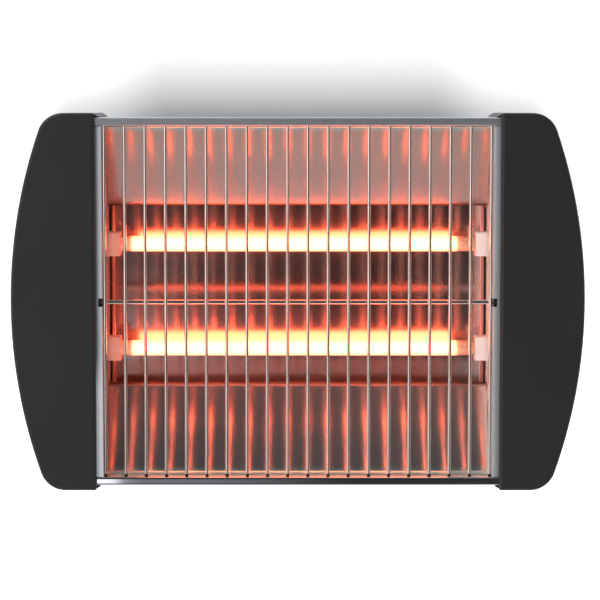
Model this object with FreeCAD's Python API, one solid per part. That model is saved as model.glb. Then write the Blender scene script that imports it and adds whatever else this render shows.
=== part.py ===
import FreeCAD
import Part

import math
import os

os.makedirs("parts", exist_ok=True)

# Flat toaster: an open steel wire grill above two quartz heating tubes.
# The body is folded steel sheet between two moulded end caps, with a crumb tray below.
# Millimetres, +Z up. The origin is on the table under the middle. -Y is the front, +X is right.

V = FreeCAD.Vector
ORIGIN = V(0, 0, 0)
ALONG_X = V(1, 0, 0)
ALONG_Y = V(0, 1, 0)
ALONG_Z = V(0, 0, 1)
SIDES = (("left", -1), ("right", 1))
ENDS = (("front", -1), ("rear", 1))

# Overall sizes
overall_length = 373.0
overall_depth = 246.0
overall_height = 88.0
foot_height = 6.0

# End caps
cap_width = 55.0
cap_side_radius = 340.0
cap_corner_radius = 17.0
cap_wall = 2.5
cap_rise = 3.5
cap_edge_round = 2.0
cap_foot_round = 3.0
cap_lip_reach = 1.4
cap_chamfer_length = 3.6
cap_chamfer_depth = 2.2
rib_thickness = 1.6
rib_drop = 9.0
rib_spacing = 42.0
boss_radius = 4.0
boss_hole_depth = 14.0

# Steel sheet body
steel = 0.8
bend = 0.6
fit_gap = 0.1
over = 1.0
panel_setback = 2.9
rail_width = 5.6
rail_lip_drop = 11.0
strip_width = 4.4
strip_tuck = 4.5
front_panel_bottom = 28.0
body_bottom = 12.0
return_width = 8.6
wall_tab = 3.6
strip_round = 0.7
side_gap = 0.3

# Grill
wire_count = 20
wire_radius = 1.1
wire_drop = 1.8
wire_hole_gap = 0.15
wire_end_gap = 0.4
rod_radius = 1.5
rod_reach = 2.5
notch_length = 5.4
notch_depth = 2.7
weld_gap = 0.03

# Heating tubes and their ceramic holders
chamber_shift = 2.0
tube_half_pitch = 34.65
tube_height = 53.0
tube_radius = 5.0
tube_wall = 1.2
tube_overhang = 2.2
coil_radius = 2.6
coil_half_length = 110.0
coil_tail_radius = 0.7
holder_block = 16.0
holder_block_length = 7.6
holder_edge = 1.5
collar_radius = 9.0
collar_thickness = 1.9
neck_radius = 7.0
neck_reach = 7.0
holder_gap = 0.2
clip_radius = 10.5
clip_thickness = 1.2
clip_tooth_gap = 2.4
clip_tooth_drop = 2.0
pin_radius = 2.3
pin_reach = 3.0
spade_width = 6.3
spade_length = 8.0

# Reflectors
reflector_sheet = 0.5
reflector_half_gap = 59.4
reflector_low = 40.6
reflector_bend_drop = 19.5
reflector_top_drop = 10.5
reflector_hem = 4.1
reflector_side_gap = 0.6
reflector_bend = 1.0
tab_width = 6.0
tab_reach = 1.7
tab_spots = (0.15, 0.5, 0.85)

# Crumb tray, its rails and the base plate
tray_sheet = 0.6
tray_bottom = 18.5
tray_wall_height = 8.5
tray_side_gap = 1.6
tray_rear_gap = 8.0
tray_front_inset = 6.4
tray_bend = 1.5
tray_lap = 6.0
ledge_drop = 0.8
ledge_hem = 4.6
rail_gap = 0.3
rail_leg = 9.9
plate_hole_rows = 3
plate_slot_length = 60.0
plate_slot_width = 4.0
plate_slot_pitch = 78.0
plate_slot_corner = 1.8
screw_flange = 8.0
screw_flange_half = 60.0
cap_tab_inset = 44.5
cap_tab_half = 9.0
cap_tab_reach = 14.0
cap_screw_reach = 8.4

# Base covers and feet
cover_thickness = 2.5
cover_gap = 0.2
vent_count = 6
vent_pitch = 9.0
vent_width = 3.0
vent_length = 26.0
vent_corner = 1.35
foot_radius = 9.0
foot_taper = 1.5
foot_stem_radius = 4.0
foot_barb = 1.0
foot_barb_height = 2.5
foot_reach = 30.0
foot_inset = 30.5
corner_screw_reach = 22.5
corner_screw_inset = 14.5
side_screw_reach = 42.0
side_screw_inset = 62.5
middle_screw_reach = 9.5

# Screws
screw_radius = 1.4
screw_head_radius = 3.2
screw_head_height = 1.8
screw_crown = 0.7
screw_length = 13.0
plate_screw_length = 2.4
screw_gap = 0.05
head_gap = 0.3

# Rocker switch and pilot lamp in the right cap's front
pocket_depth = 4.5
pocket_half_width = 8.2
pocket_low = 35.0
pocket_high = 79.0
pocket_corner = 3.0
pocket_centre = 10.7
switch_height = 48.0
bezel_half_width = 7.0
bezel_half_height = 11.0
bezel_thickness = 1.4
barrel_half_width = 6.0
barrel_half_height = 9.7
barrel_depth = 18.0
barrel_wall = 0.8
barrel_gap = 0.15
rocker_side_gap = 0.3
rocker_radius = 8.8
rocker_pivot_depth = 2.0
rocker_rise = 4.7
rocker_dish = 1.5
rocker_back = 2.0
well_room = 4.0
rocker_tilt = 10.0
pivot_radius = 1.2
pivot_gap = 0.05
lamp_height = 70.0
lamp_radius = 3.3
lamp_flange = 4.4
lamp_flange_thickness = 1.0
lamp_dome_radius = 5.3
lamp_dome = 2.0
lamp_length = 14.0

# Cord gland in the right cap's rear
gland_height = 26.0
gland_pocket_radius = 8.2
gland_flange_radius = 7.0
gland_flange = 1.6
gland_ring_radius = 6.2
gland_neck_radius = 5.2
gland_bore_radius = 3.3
gland_length = 12.0

# Terminal block and leads
block_length = 34.0
block_width = 16.0
block_height = 14.0
block_seat = 14.0
seat_thickness = 3.2
block_reach = 20.0
block_inset = 82.5
block_poles = 3
pole_radius = 2.6
pole_height = 4.7
pole_depth = 9.6
pole_screw_reach = 5.6
pole_screw_radius = 1.8
lead_radius = 1.3
lead_gap = 0.1
lead_out = 10.0
lead_swing = 15.0
lead_bend_share = 0.45
earth_screw_inset = 62.5
screw_tip = 1.0
earth_screw_height = 31.0
lead_step = 3.0
live_dip_y = 20.0
live_rise_y = -50.0

# Places worked out from the sizes
half_depth = overall_depth / 2
half_length = overall_length / 2
cap_tab_place = half_depth - cap_tab_inset
block_start = half_depth - block_inset
earth_screw_y = half_depth - earth_screw_inset
cap_inner = half_length - cap_width
wall_inner = cap_inner - fit_gap - strip_width
wall_outer = wall_inner + steel
cap_lip = wall_outer + cap_lip_reach
steel_top = overall_height - cap_rise
steel_under = steel_top - steel
reflector_bend_height = steel_top - reflector_bend_drop
reflector_top = steel_top - reflector_top_drop
cap_ceiling = steel_top + fit_gap
boss_top = overall_height - cap_wall / 2
panel_outer = half_depth - panel_setback
panel_inner = panel_outer - steel
rail_inner = panel_outer - rail_width
strip_end = rail_inner - 2 * fit_gap
sheet_end = wall_inner - side_gap
rail_end = cap_inner - 2 * fit_gap
wire_z = steel_under - wire_drop - fit_gap
wire_reach = panel_inner - wire_end_gap
wire_span = sheet_end - wire_radius
wire_pitch = 2 * wire_span / (wire_count - 1)
rod_z = wire_z - wire_radius - rod_radius - weld_gap
rod_end = wall_inner + rod_reach
tube_end = wall_outer + tube_overhang
tube_places = {"front": chamber_shift - tube_half_pitch, "rear": chamber_shift + tube_half_pitch}
block_inner = wall_inner - holder_gap - collar_thickness - holder_block_length
neck_end = wall_outer + neck_reach
pin_end = neck_end + pin_reach
tray_top = tray_bottom + tray_wall_height
tray_half_width = wall_inner - tray_side_gap
tray_rear = panel_inner - tray_rear_gap
tray_front = -(panel_outer - tray_front_inset)
ledge_top = front_panel_bottom - ledge_drop
ledge_front = -(half_depth - fit_gap)
rail_top = tray_bottom - rail_gap
plate_under = body_bottom + steel + fit_gap
plate_top = plate_under + steel
cover_bottom = foot_height
cover_top = cover_bottom + cover_thickness
switch_x = cap_inner + pocket_centre
pocket_floor = half_depth - pocket_depth
bezel_face = pocket_floor + bezel_thickness
pivot_y = -(pocket_floor - rocker_pivot_depth)
switch_tab_heights = (switch_height - barrel_half_height / 2, switch_height + barrel_half_height / 2)


def block(x0, x1, y0, y1, z0, z1):
    """Box between two corners."""
    return Part.makeBox(x1 - x0, y1 - y0, z1 - z0, V(x0, y0, z0))


def round_x(x0, x1, y, z, radius):
    """Round bar along X."""
    return Part.makeCylinder(radius, x1 - x0, V(x0, y, z), ALONG_X)


def round_y(y0, y1, x, z, radius):
    """Round bar along Y."""
    return Part.makeCylinder(radius, y1 - y0, V(x, y0, z), ALONG_Y)


def round_z(z0, z1, x, y, radius):
    """Round bar along Z."""
    return Part.makeCylinder(radius, z1 - z0, V(x, y, z0), ALONG_Z)


def join(first, *others):
    """One solid from pieces that touch or overlap."""
    return first.fuse(list(others)).removeSplitter()


def cut(shape, *tools):
    """The shape without the tools."""
    return shape.cut(list(tools))


def mirrored(shape, axis):
    """The shape on the other side of the middle, across the given axis."""
    return shape.mirror(ORIGIN, axis)


def rounded(shape, radius, wanted):
    """The shape with a radius on each edge that passes the test."""
    return shape.makeFillet(radius, [edge for edge in shape.Edges if wanted(edge)])


def lies_at_height(z):
    """Test for edges that lie level at one height."""
    return lambda edge: all(abs(vertex.Z - z) < 1e-4 for vertex in edge.Vertexes)


def runs_along(axis):
    """Test for straight edges that run along an axis."""
    def test(edge):
        straight = edge.Curve.TypeId == "Part::GeomLine"
        return straight and abs(abs(edge.tangentAt(edge.FirstParameter).dot(axis)) - 1) < 1e-6
    return test


def save(name, *shapes):
    """Writes the solids of a node to its own file."""
    solids = [solid for shape in shapes for solid in shape.Solids]
    node = solids[0] if len(solids) == 1 else Part.makeCompound(solids)
    node.exportStep(os.path.join("parts", name + ".step"))


def in_yz(y, z):
    """Point of an outline drawn in the YZ plane."""
    return V(0, y, z)


def in_xz(x, z):
    """Point of an outline drawn in the XZ plane."""
    return V(x, 0, z)


def in_xy(x, y):
    """Point of an outline drawn in the XY plane."""
    return V(x, y, 0)


def bent_edges(points, radii):
    """Straight runs through the points, with an arc of the given radius at each inner point."""
    edges = []
    start = points[0]
    for before, at, after, radius in zip(points[:-2], points[1:-1], points[2:], radii, strict=True):
        back = (before - at).normalize()
        ahead = (after - at).normalize()
        half = back.getAngle(ahead) / 2
        middle = (back + ahead).normalize()
        reach = radius / math.tan(half)
        arc_start = at + back * reach
        arc_end = at + ahead * reach
        arc_middle = at + middle * (radius / math.sin(half) - radius)
        edges.append(Part.LineSegment(start, arc_start).toShape())
        edges.append(Part.Arc(arc_start, arc_middle, arc_end).toShape())
        start = arc_end
    edges.append(Part.LineSegment(start, points[-1]).toShape())
    return edges


def folded_sheet(outline, thickness, bend_radius, side, plane, sweep):
    """Bent sheet: an open outline thickened to its left (side 1) or right (side -1), then swept."""
    normals = []
    for (a0, b0), (a1, b1) in zip(outline, outline[1:]):
        length = math.hypot(a1 - a0, b1 - b0)
        normals.append((-side * (b1 - b0) / length, side * (a1 - a0) / length))
    pairs = [(normals[0], normals[0])] + list(zip(normals, normals[1:])) + [(normals[-1], normals[-1])]
    other = []
    for (a, b), (first, second) in zip(outline, pairs, strict=True):
        share = thickness / (1 + first[0] * second[0] + first[1] * second[1])
        other.append((a + share * (first[0] + second[0]), b + share * (first[1] + second[1])))
    near_radii = []
    far_radii = []
    for first, second in zip(normals, normals[1:]):
        turn = side * (first[0] * second[1] - first[1] * second[0])
        near_radii.append(bend_radius + thickness if turn > 0 else bend_radius)
        far_radii.append(bend_radius if turn > 0 else bend_radius + thickness)
    near = [plane(a, b) for a, b in outline]
    far = [plane(a, b) for a, b in other]
    edges = bent_edges(near, near_radii) + bent_edges(far, far_radii)
    edges.append(Part.LineSegment(near[0], far[0]).toShape())
    edges.append(Part.LineSegment(near[-1], far[-1]).toShape())
    wire = Part.Wire(Part.__sortEdges__(edges))
    return Part.Face(wire).extrude(sweep)


def across(shape, half):
    """Moves a sheet that was swept along X by twice the half width to the middle."""
    return shape.translated(V(-half, 0, 0))


def cap_plan(inset, inner):
    """Plan of the right cap, drawn in by the inset: straight ends, round corners and an arched side."""
    half = half_depth - inset
    side = cap_side_radius - inset
    corner = cap_corner_radius - inset
    centre = half_length - cap_side_radius
    corner_y = half - corner
    corner_x = centre + math.sqrt((side - corner) ** 2 - corner_y ** 2)
    lean = math.atan2(corner_y, corner_x - centre)
    middle = (lean + math.pi / 2) / 2
    touch = in_xy(centre + side * math.cos(lean), side * math.sin(lean))
    top = in_xy(corner_x, half)
    bow = in_xy(corner_x + corner * math.cos(middle), corner_y + corner * math.sin(middle))

    def low(point):
        return V(point.x, -point.y, 0)

    edges = [Part.Arc(low(top), low(bow), low(touch)).toShape()]
    edges.append(Part.Arc(low(touch), in_xy(centre + side, 0), touch).toShape())
    edges.append(Part.Arc(touch, bow, top).toShape())
    end = in_xy(inner, half)
    path = [top, end, low(end), low(top)]
    edges += [Part.LineSegment(a, b).toShape() for a, b in zip(path, path[1:])]
    return Part.Face(Part.Wire(Part.__sortEdges__(edges)))


def raised(face, z0, z1):
    """A plan extruded between two heights."""
    return face.translated(V(0, 0, z0)).extrude(V(0, 0, z1 - z0))


def cap_screw_places():
    """The two screws that hold one cap, on the right side."""
    x = wall_outer + cap_screw_reach
    return [(x, -cap_tab_place), (x, cap_tab_place)]


def cover_screw_spots():
    """The screws of the right base cover."""
    spots = [(cap_inner + middle_screw_reach, 0)]
    for reach, inset in ((corner_screw_reach, corner_screw_inset), (side_screw_reach, side_screw_inset)):
        spots += [(cap_inner + reach, inset - half_depth), (cap_inner + reach, half_depth - inset)]
    return spots


def foot_spots():
    """The two feet of the right cap."""
    x = cap_inner + foot_reach
    return [(x, foot_inset - half_depth), (x, half_depth - foot_inset)]


def plain_cap():
    """The right cap without its switch pocket and gland: a shell open below and towards the body."""
    outer = raised(cap_plan(0, cap_lip), foot_height, overall_height)
    step = block(cap_lip - over, cap_inner, -overall_depth, overall_depth,
                 steel_under, overall_height + over)
    outer = cut(outer, step)
    outer = rounded(outer, cap_edge_round, lies_at_height(overall_height))
    bottom = lies_at_height(foot_height)
    outer = rounded(outer, cap_foot_round, lambda edge: bottom(edge) and edge.BoundBox.XMax > cap_inner)
    tip = [in_xy(cap_lip + cap_chamfer_length, half_depth), in_xy(cap_lip, half_depth - cap_chamfer_depth),
           in_xy(cap_lip, half_depth)]
    wedge = raised(Part.Face(Part.makePolygon(tip + tip[:1])), foot_height, overall_height)
    hollow = raised(cap_plan(cap_wall, cap_lip - over), foot_height - over, cap_ceiling)
    deeper = raised(cap_plan(cap_wall, cap_inner + cap_wall), cap_ceiling - over, overall_height - cap_wall)
    shell = cut(outer, wedge, mirrored(wedge, ALONG_Y), hollow, deeper)
    inside = []
    holes = []
    for x, y in cap_screw_places():
        inside.append(round_z(body_bottom + steel + fit_gap, boss_top, x, y, boss_radius))
        holes.append(round_z(body_bottom, body_bottom + boss_hole_depth, x, y, screw_radius + screw_gap))
    for x, y in cover_screw_spots():
        inside.append(round_z(cover_top + fit_gap, boss_top, x, y, boss_radius))
        holes.append(round_z(cover_top, cover_top + boss_hole_depth, x, y, screw_radius + screw_gap))
    rib_count = int(half_depth / rib_spacing)
    for step_number in range(-rib_count, rib_count + 1):
        y = step_number * rib_spacing
        rib = block(cap_inner + strip_tuck + side_gap, half_length,
                    y - rib_thickness / 2, y + rib_thickness / 2, cap_ceiling - rib_drop, boss_top)
        inside.append(rib.common(raised(cap_plan(cap_wall / 2, cap_lip), foot_height, overall_height)))
    return cut(join(shell, *inside), *holes)


def rounded_block_y(half_width, y0, y1, z0, z1, radius):
    """Block along Y with round corners, centred on the switch."""
    body = block(switch_x - half_width, switch_x + half_width, y0, y1, z0, z1)
    return rounded(body, radius, runs_along(ALONG_Y))


def right_cap():
    """The right cap with the pocket for switch and lamp in front and the gland's seat behind."""
    room = cap_wall
    front_back = -(pocket_floor - cap_wall)
    seat = rounded_block_y(pocket_half_width + room, -(half_depth - cap_wall / 2), front_back,
                           pocket_low - room, pocket_high + room, pocket_corner)
    seat = seat.common(raised(cap_plan(cap_wall / 2, cap_lip), foot_height, cap_ceiling + over))
    pocket = rounded_block_y(pocket_half_width, -(half_depth + over), -pocket_floor,
                             pocket_low, pocket_high, pocket_corner)
    half_width = barrel_half_width + barrel_gap
    half_height = barrel_half_height + barrel_gap
    barrel = block(switch_x - half_width, switch_x + half_width, -half_depth, front_back + over,
                   switch_height - half_height, switch_height + half_height)
    lamp = round_y(-half_depth, front_back + over, switch_x, lamp_height, lamp_radius + fit_gap)
    gland_seat = round_y(pocket_floor - cap_wall, half_depth - cap_wall / 2, switch_x, gland_height,
                         gland_pocket_radius + cap_wall)
    gland_pocket = round_y(pocket_floor, half_depth + over, switch_x, gland_height, gland_pocket_radius)
    gland_hole = round_y(pocket_floor - cap_wall - over, half_depth, switch_x, gland_height,
                         gland_neck_radius + fit_gap)
    return cut(join(plain_cap(), seat, gland_seat), pocket, barrel, lamp, gland_pocket, gland_hole)


def base_cover(with_block_seat):
    """The right base cover: a plate inside the cap's wall, with vents, screw seats and foot holes."""
    plate = raised(cap_plan(cap_wall + cover_gap, cap_lip + side_gap), cover_bottom, cover_top)
    tools = []
    for x, y in foot_spots():
        tools.append(round_z(cover_bottom - over, cover_top + over, x, y, foot_stem_radius + fit_gap))
    for x, y in cover_screw_spots():
        tools.append(round_z(cover_bottom - over, cover_top + over, x, y, screw_radius + fit_gap))
        tools.append(round_z(cover_bottom - over, cover_bottom + screw_head_height, x, y,
                             screw_head_radius + head_gap))
    vent_centre = (cap_inner + half_length) / 2
    for number in range(vent_count):
        y = (number - (vent_count - 1) / 2) * vent_pitch - vent_pitch
        slot = block(vent_centre - vent_length / 2, vent_centre + vent_length / 2,
                     y - vent_width / 2, y + vent_width / 2, cover_bottom - over, cover_top + over)
        tools.append(rounded(slot, vent_corner, runs_along(ALONG_Z)))
    plate = cut(plate, *tools)
    if with_block_seat:
        x = cap_inner + block_reach
        seats = [block(x, x + block_width, y, y + seat_thickness, cover_top - fit_gap, block_seat)
                 for y in (block_start, block_start + block_length - seat_thickness)]
        plate = join(plate, *seats)
    return plate


def foot(x, y):
    """Rubber foot with a stem that is pressed through the base cover."""
    pad = Part.makeCone(foot_radius - foot_taper, foot_radius, foot_height, V(x, y, 0), ALONG_Z)
    stem = round_z(foot_height - over, cover_top + 2 * fit_gap, x, y, foot_stem_radius)
    barb = Part.makeCone(foot_stem_radius + foot_barb, foot_stem_radius - foot_barb, foot_barb_height,
                         V(x, y, cover_top + fit_gap), ALONG_Z)
    return join(pad, stem, barb)


def panel(bottom):
    """Front channel: inner lip with wire holes, top rail, outer wall and bottom return."""
    return_end = -panel_outer + return_width
    outline = [(-rail_inner, steel_top - rail_lip_drop), (-rail_inner, steel_top),
               (-panel_outer, steel_top), (-panel_outer, bottom), (return_end, bottom)]
    sheet = across(folded_sheet(outline, steel, bend, 1, in_yz, V(2 * rail_end, 0, 0)), rail_end)
    trims = []
    for side in (-1, 1):
        x0, x1 = sorted((side * sheet_end, side * (rail_end + over)))
        trims.append(block(x0, x1, -panel_inner, return_end + over, bottom - over, steel_under))
    hole_start = -panel_inner - fit_gap + steel
    holes = [round_y(hole_start, -rail_inner + over, x, wire_z, wire_radius + wire_hole_gap)
             for x in wire_places()]
    return cut(sheet, *trims, *holes)


def wire_places():
    """The X of each grill wire."""
    return [-wire_span + number * wire_pitch for number in range(wire_count)]


def side_wall():
    """Right wall of the chamber: end tabs, top strip, bottom flanges, holder holes, notch and tab slots."""
    end = panel_inner - fit_gap
    tab = wall_inner + wall_tab
    plan = [(tab, -end), (wall_inner, -end), (wall_inner, end), (tab, end)]
    wall = folded_sheet(plan, steel, bend, -1, in_xy, V(0, 0, steel_under - fit_gap - body_bottom))
    wall = wall.translated(V(0, 0, body_bottom))
    strip = block(wall_inner, cap_inner + strip_tuck, -strip_end, strip_end, steel_under, steel_top)
    rise = block(wall_inner, wall_outer, -strip_end, strip_end, steel_under - over, steel_top)
    strip = join(strip, rise)
    strip = rounded(strip, strip_round, lambda edge: lies_at_height(steel_top)(edge)
                    and edge.BoundBox.XMax < wall_inner + 1e-4)
    floor = body_bottom + steel
    inward = block(wall_inner - screw_flange, wall_outer, -screw_flange_half, screw_flange_half,
                   body_bottom, floor)
    tabs = [block(wall_inner, wall_outer + cap_tab_reach, y - cap_tab_half, y + cap_tab_half,
                  body_bottom, floor)
            for _, y in cap_screw_places()]
    shape = join(wall, strip, inward, *tabs)
    tools = [block(wall_inner - over, wall_inner + notch_depth, -notch_length / 2, notch_length / 2,
                   rod_z - rod_radius - fit_gap, steel_top + over)]
    for y in tube_places.values():
        tools.append(round_x(wall_inner - over, wall_outer + over, y, tube_height,
                             neck_radius + holder_gap))
    for x, y in cap_screw_places():
        tools.append(round_z(body_bottom - over, floor + over, x, y, screw_radius + fit_gap))
        tools.append(round_z(steel_under - over, steel_top + over, x, y, boss_radius + side_gap))
    for x, y in plate_screw_places():
        if x > 0:
            tools.append(round_z(body_bottom - over, floor + over, x, y, screw_radius + fit_gap))
    for _, side in ENDS:
        tools += reflector_tabs(side, side_gap)
    tools.append(round_x(wall_inner - over, wall_outer + over, earth_screw_y, earth_screw_height,
                         screw_radius + fit_gap))
    return cut(shape, *tools)


def reflector_outline(side):
    """Upper face of a reflector in the YZ plane, from its upstand to its lower hem."""
    top_y = side * (rail_inner - fit_gap - reflector_sheet)
    low_y = chamber_shift + side * reflector_half_gap
    return [(top_y, reflector_top), (top_y, reflector_bend_height), (low_y, reflector_low),
            (low_y, reflector_low - reflector_hem)]


def reflector_tabs(side, extra):
    """Tabs at the right end of a reflector, on its slope, grown by the extra clearance."""
    _, (y0, z0), (y1, z1), _ = reflector_outline(side)
    slope = math.degrees(math.atan2(z1 - z0, y1 - y0))
    tabs = []
    for spot in tab_spots:
        y = y0 + (y1 - y0) * spot
        z = z0 + (z1 - z0) * spot
        thick = reflector_sheet + 2 * extra
        wide = tab_width + 2 * extra
        tab = block(sheet_end - 2 * over, wall_outer + tab_reach, -wide / 2, wide / 2, -thick / 2, thick / 2)
        tab.rotate(ORIGIN, ALONG_X, slope)
        normal = V(0, z1 - z0, -(y1 - y0)).normalize()
        if normal.z > 0:
            normal = normal * -1
        tab.translate(V(0, y, z) + normal * (reflector_sheet / 2))
        tabs.append(tab)
    return tabs


def reflector(side):
    """Sloped bright sheet between the rail's lip and the tubes, with three tabs at each end."""
    half = wall_inner - reflector_side_gap
    sheet = folded_sheet(reflector_outline(side), reflector_sheet, reflector_bend, side, in_yz,
                         V(2 * half, 0, 0))
    sheet = across(sheet, half)
    tabs = reflector_tabs(side, 0)
    return join(sheet, *tabs, *[mirrored(tab, ALONG_X) for tab in tabs])


def holder(y):
    """Right ceramic holder: square block, round collar on the wall and a neck through it."""
    half = holder_block / 2
    body = block(block_inner, block_inner + holder_block_length, y - half, y + half,
                 tube_height - half, tube_height + half)
    body = rounded(body, holder_edge, runs_along(ALONG_X))
    collar_start = block_inner + holder_block_length
    collar = round_x(collar_start, collar_start + collar_thickness, y, tube_height, collar_radius)
    neck = round_x(collar_start, neck_end, y, tube_height, neck_radius)
    bore = round_x(block_inner - over, tube_end + 2 * fit_gap, y, tube_height, tube_radius + holder_gap)
    exit_hole = round_x(tube_end, neck_end + over, y, tube_height, pin_radius + holder_gap)
    return cut(join(body, collar, neck), bore, exit_hole)


def holder_clip(y):
    """Spring ring that holds a ceramic neck against the outside of the wall."""
    start = wall_outer + fit_gap
    ring = round_x(start, start + clip_thickness, y, tube_height, clip_radius)
    tools = [round_x(start - over, start + clip_thickness + over, y, tube_height, neck_radius + fit_gap)]
    for angle in (45, 135, 225, 315):
        tooth = block(start - over, start + clip_thickness + over, -clip_tooth_gap / 2, clip_tooth_gap / 2,
                      0, neck_radius + clip_tooth_drop)
        tooth.rotate(ORIGIN, ALONG_X, angle)
        tools.append(tooth.translated(V(0, y, tube_height)))
    return cut(ring, *tools)


def element_terminal(y):
    """Pin in the end of a tube, with a flat spade for the lead."""
    pin = round_x(tube_end + 4 * fit_gap, pin_end, y, tube_height, pin_radius)
    spade = block(pin_end - over, pin_end + spade_length, y - spade_width / 2, y + spade_width / 2,
                  tube_height - steel / 2, tube_height + steel / 2)
    return join(pin, spade)


def quartz_tube(y):
    """Open quartz tube that reaches through both walls into the holders."""
    outer = round_x(-tube_end, tube_end, y, tube_height, tube_radius)
    return cut(outer, round_x(-tube_end - over, tube_end + over, y, tube_height, tube_radius - tube_wall))


def heating_coil(y):
    """Envelope of the wound wire in a tube, with a straight tail to each terminal."""
    tail = tube_end + 4 * fit_gap
    winding = round_x(-coil_half_length, coil_half_length, y, tube_height, coil_radius)
    return join(winding, round_x(-tail, tail, y, tube_height, coil_tail_radius))


def grill_wire(x):
    """One grill wire, cut square at both ends, from panel to panel."""
    return round_y(-wire_reach, wire_reach, x, wire_z, wire_radius)


def cross_rod():
    """Rod under the grill wires, with its ends in the walls' notches."""
    return round_x(-rod_end, rod_end, 0, rod_z, rod_radius)


def crumb_tray():
    """Shallow pan with a forward ledge and hem that a finger pulls from below."""
    section = [(-tray_half_width, tray_top), (-tray_half_width, tray_bottom),
               (tray_half_width, tray_bottom), (tray_half_width, tray_top)]
    pan = folded_sheet(section, tray_sheet, tray_bend, 1, in_xz, V(0, tray_rear - tray_front, 0))
    pan = pan.translated(V(0, tray_front, 0))
    inner = tray_half_width - tray_sheet
    rear = block(-inner, inner, tray_rear - tray_sheet, tray_rear, tray_bottom + tray_sheet / 2, tray_top)
    ledge_low = ledge_top - tray_sheet
    outline = [(tray_front + tray_lap, tray_bottom), (tray_front, tray_bottom), (tray_front, ledge_low),
               (ledge_front + tray_sheet, ledge_low), (ledge_front + tray_sheet, ledge_low - ledge_hem)]
    lip = across(folded_sheet(outline, tray_sheet, tray_sheet, -1, in_yz, V(2 * inner, 0, 0)), inner)
    corner = block(-tray_half_width, tray_half_width, tray_front, tray_front + tray_sheet,
                   tray_bottom + tray_bend, tray_top)
    return join(pan, rear, lip, corner)


def tray_rail():
    """Right angle strip on the wall that the tray slides on."""
    outer = wall_inner - fit_gap
    outline = [(outer, plate_top + fit_gap), (outer, rail_top), (outer - rail_leg, rail_top)]
    start = -(rail_inner - return_width)
    sheet = folded_sheet(outline, steel, bend, 1, in_xz, V(0, tray_rear - start, 0))
    return sheet.translated(V(0, start, 0))


def plate_screw_places():
    """Screws that hold the base plate to the walls' inward flanges."""
    x = wall_inner - screw_flange / 2
    y = screw_flange_half - screw_flange
    return [(side * x, place) for side in (-1, 1) for place in (-y, 0, y)]


def base_plate():
    """Bottom sheet under the tray, with rows of vent slots."""
    front = -(rail_inner - return_width)
    rear = panel_inner - bend - fit_gap
    plate = block(-sheet_end, sheet_end, front, rear, plate_under, plate_top)
    tools = [round_z(plate_under - over, plate_top + over, x, y, screw_radius + screw_gap)
             for x, y in plate_screw_places()]
    row_pitch = (rear - front) / (plate_hole_rows + 1)
    for row in range(plate_hole_rows):
        y = front + (row + 1) * row_pitch
        for column in (-1, 0, 1):
            x = column * plate_slot_pitch
            slot = block(x - plate_slot_length / 2, x + plate_slot_length / 2,
                         y - plate_slot_width / 2, y + plate_slot_width / 2,
                         plate_under - over, plate_top + over)
            tools.append(rounded(slot, plate_slot_corner, runs_along(ALONG_Z)))
    return cut(plate, *tools)


def screw_up(x, y, head_low, length):
    """Screw with a coned head that is driven upwards."""
    neck = head_low + screw_head_height
    crown = Part.makeCone(screw_head_radius - screw_crown, screw_head_radius, screw_crown,
                          V(x, y, head_low), ALONG_Z)
    head = round_z(head_low + screw_crown, neck, x, y, screw_head_radius)
    return join(crown, head, round_z(neck - fit_gap, neck + length, x, y, screw_radius))


def switch_body():
    """Switch housing with its bezel, rocker well, pivot holes and two tabs behind."""
    back = -(pocket_floor - barrel_depth)
    bezel = block(switch_x - bezel_half_width, switch_x + bezel_half_width, -bezel_face, -pocket_floor,
                  switch_height - bezel_half_height, switch_height + bezel_half_height)
    bezel = rounded(bezel, bezel_thickness, runs_along(ALONG_Y))
    barrel = block(switch_x - barrel_half_width, switch_x + barrel_half_width,
                   -pocket_floor - fit_gap, back,
                   switch_height - barrel_half_height, switch_height + barrel_half_height)
    well_half = barrel_half_width - barrel_wall
    well_high = rocker_radius + rocker_side_gap
    well = block(switch_x - well_half, switch_x + well_half, -half_depth, pivot_y + rocker_back + well_room,
                 switch_height - well_high, switch_height + well_high)
    pivots = round_x(switch_x - barrel_half_width - over, switch_x + barrel_half_width + over,
                     pivot_y, switch_height, pivot_radius + pivot_gap)
    tabs = [block(switch_x - spade_width / 2, switch_x + spade_width / 2,
                  back - fit_gap, back + spade_length, z - steel / 2, z + steel / 2)
            for z in switch_tab_heights]
    return join(cut(join(bezel, barrel), well, pivots), *tabs)


def switch_rocker():
    """Dished rocker with two stub pivots, built level and then tilted to its on side."""
    front = -rocker_rise
    corner_z = math.sqrt(rocker_radius ** 2 - rocker_rise ** 2)
    back_z = math.sqrt(rocker_radius ** 2 - rocker_back ** 2)
    dish = in_yz(front + rocker_dish, 0)
    low = in_yz(front, -corner_z)
    high = in_yz(front, corner_z)
    back_low = in_yz(rocker_back, -back_z)
    back_high = in_yz(rocker_back, back_z)
    edges = [Part.Arc(low, dish, high).toShape(),
             Part.Arc(high, in_yz(0, rocker_radius), back_high).toShape(),
             Part.LineSegment(back_high, back_low).toShape(),
             Part.Arc(back_low, in_yz(0, -rocker_radius), low).toShape()]
    half = barrel_half_width - barrel_wall - rocker_side_gap
    body = across(Part.Face(Part.Wire(edges)).extrude(V(2 * half, 0, 0)), half)
    stub = barrel_half_width - fit_gap
    rocker = join(body, round_x(-stub, stub, 0, 0, pivot_radius))
    rocker.rotate(ORIGIN, ALONG_X, -rocker_tilt)
    return rocker.translated(V(switch_x, pivot_y, switch_height))


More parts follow.
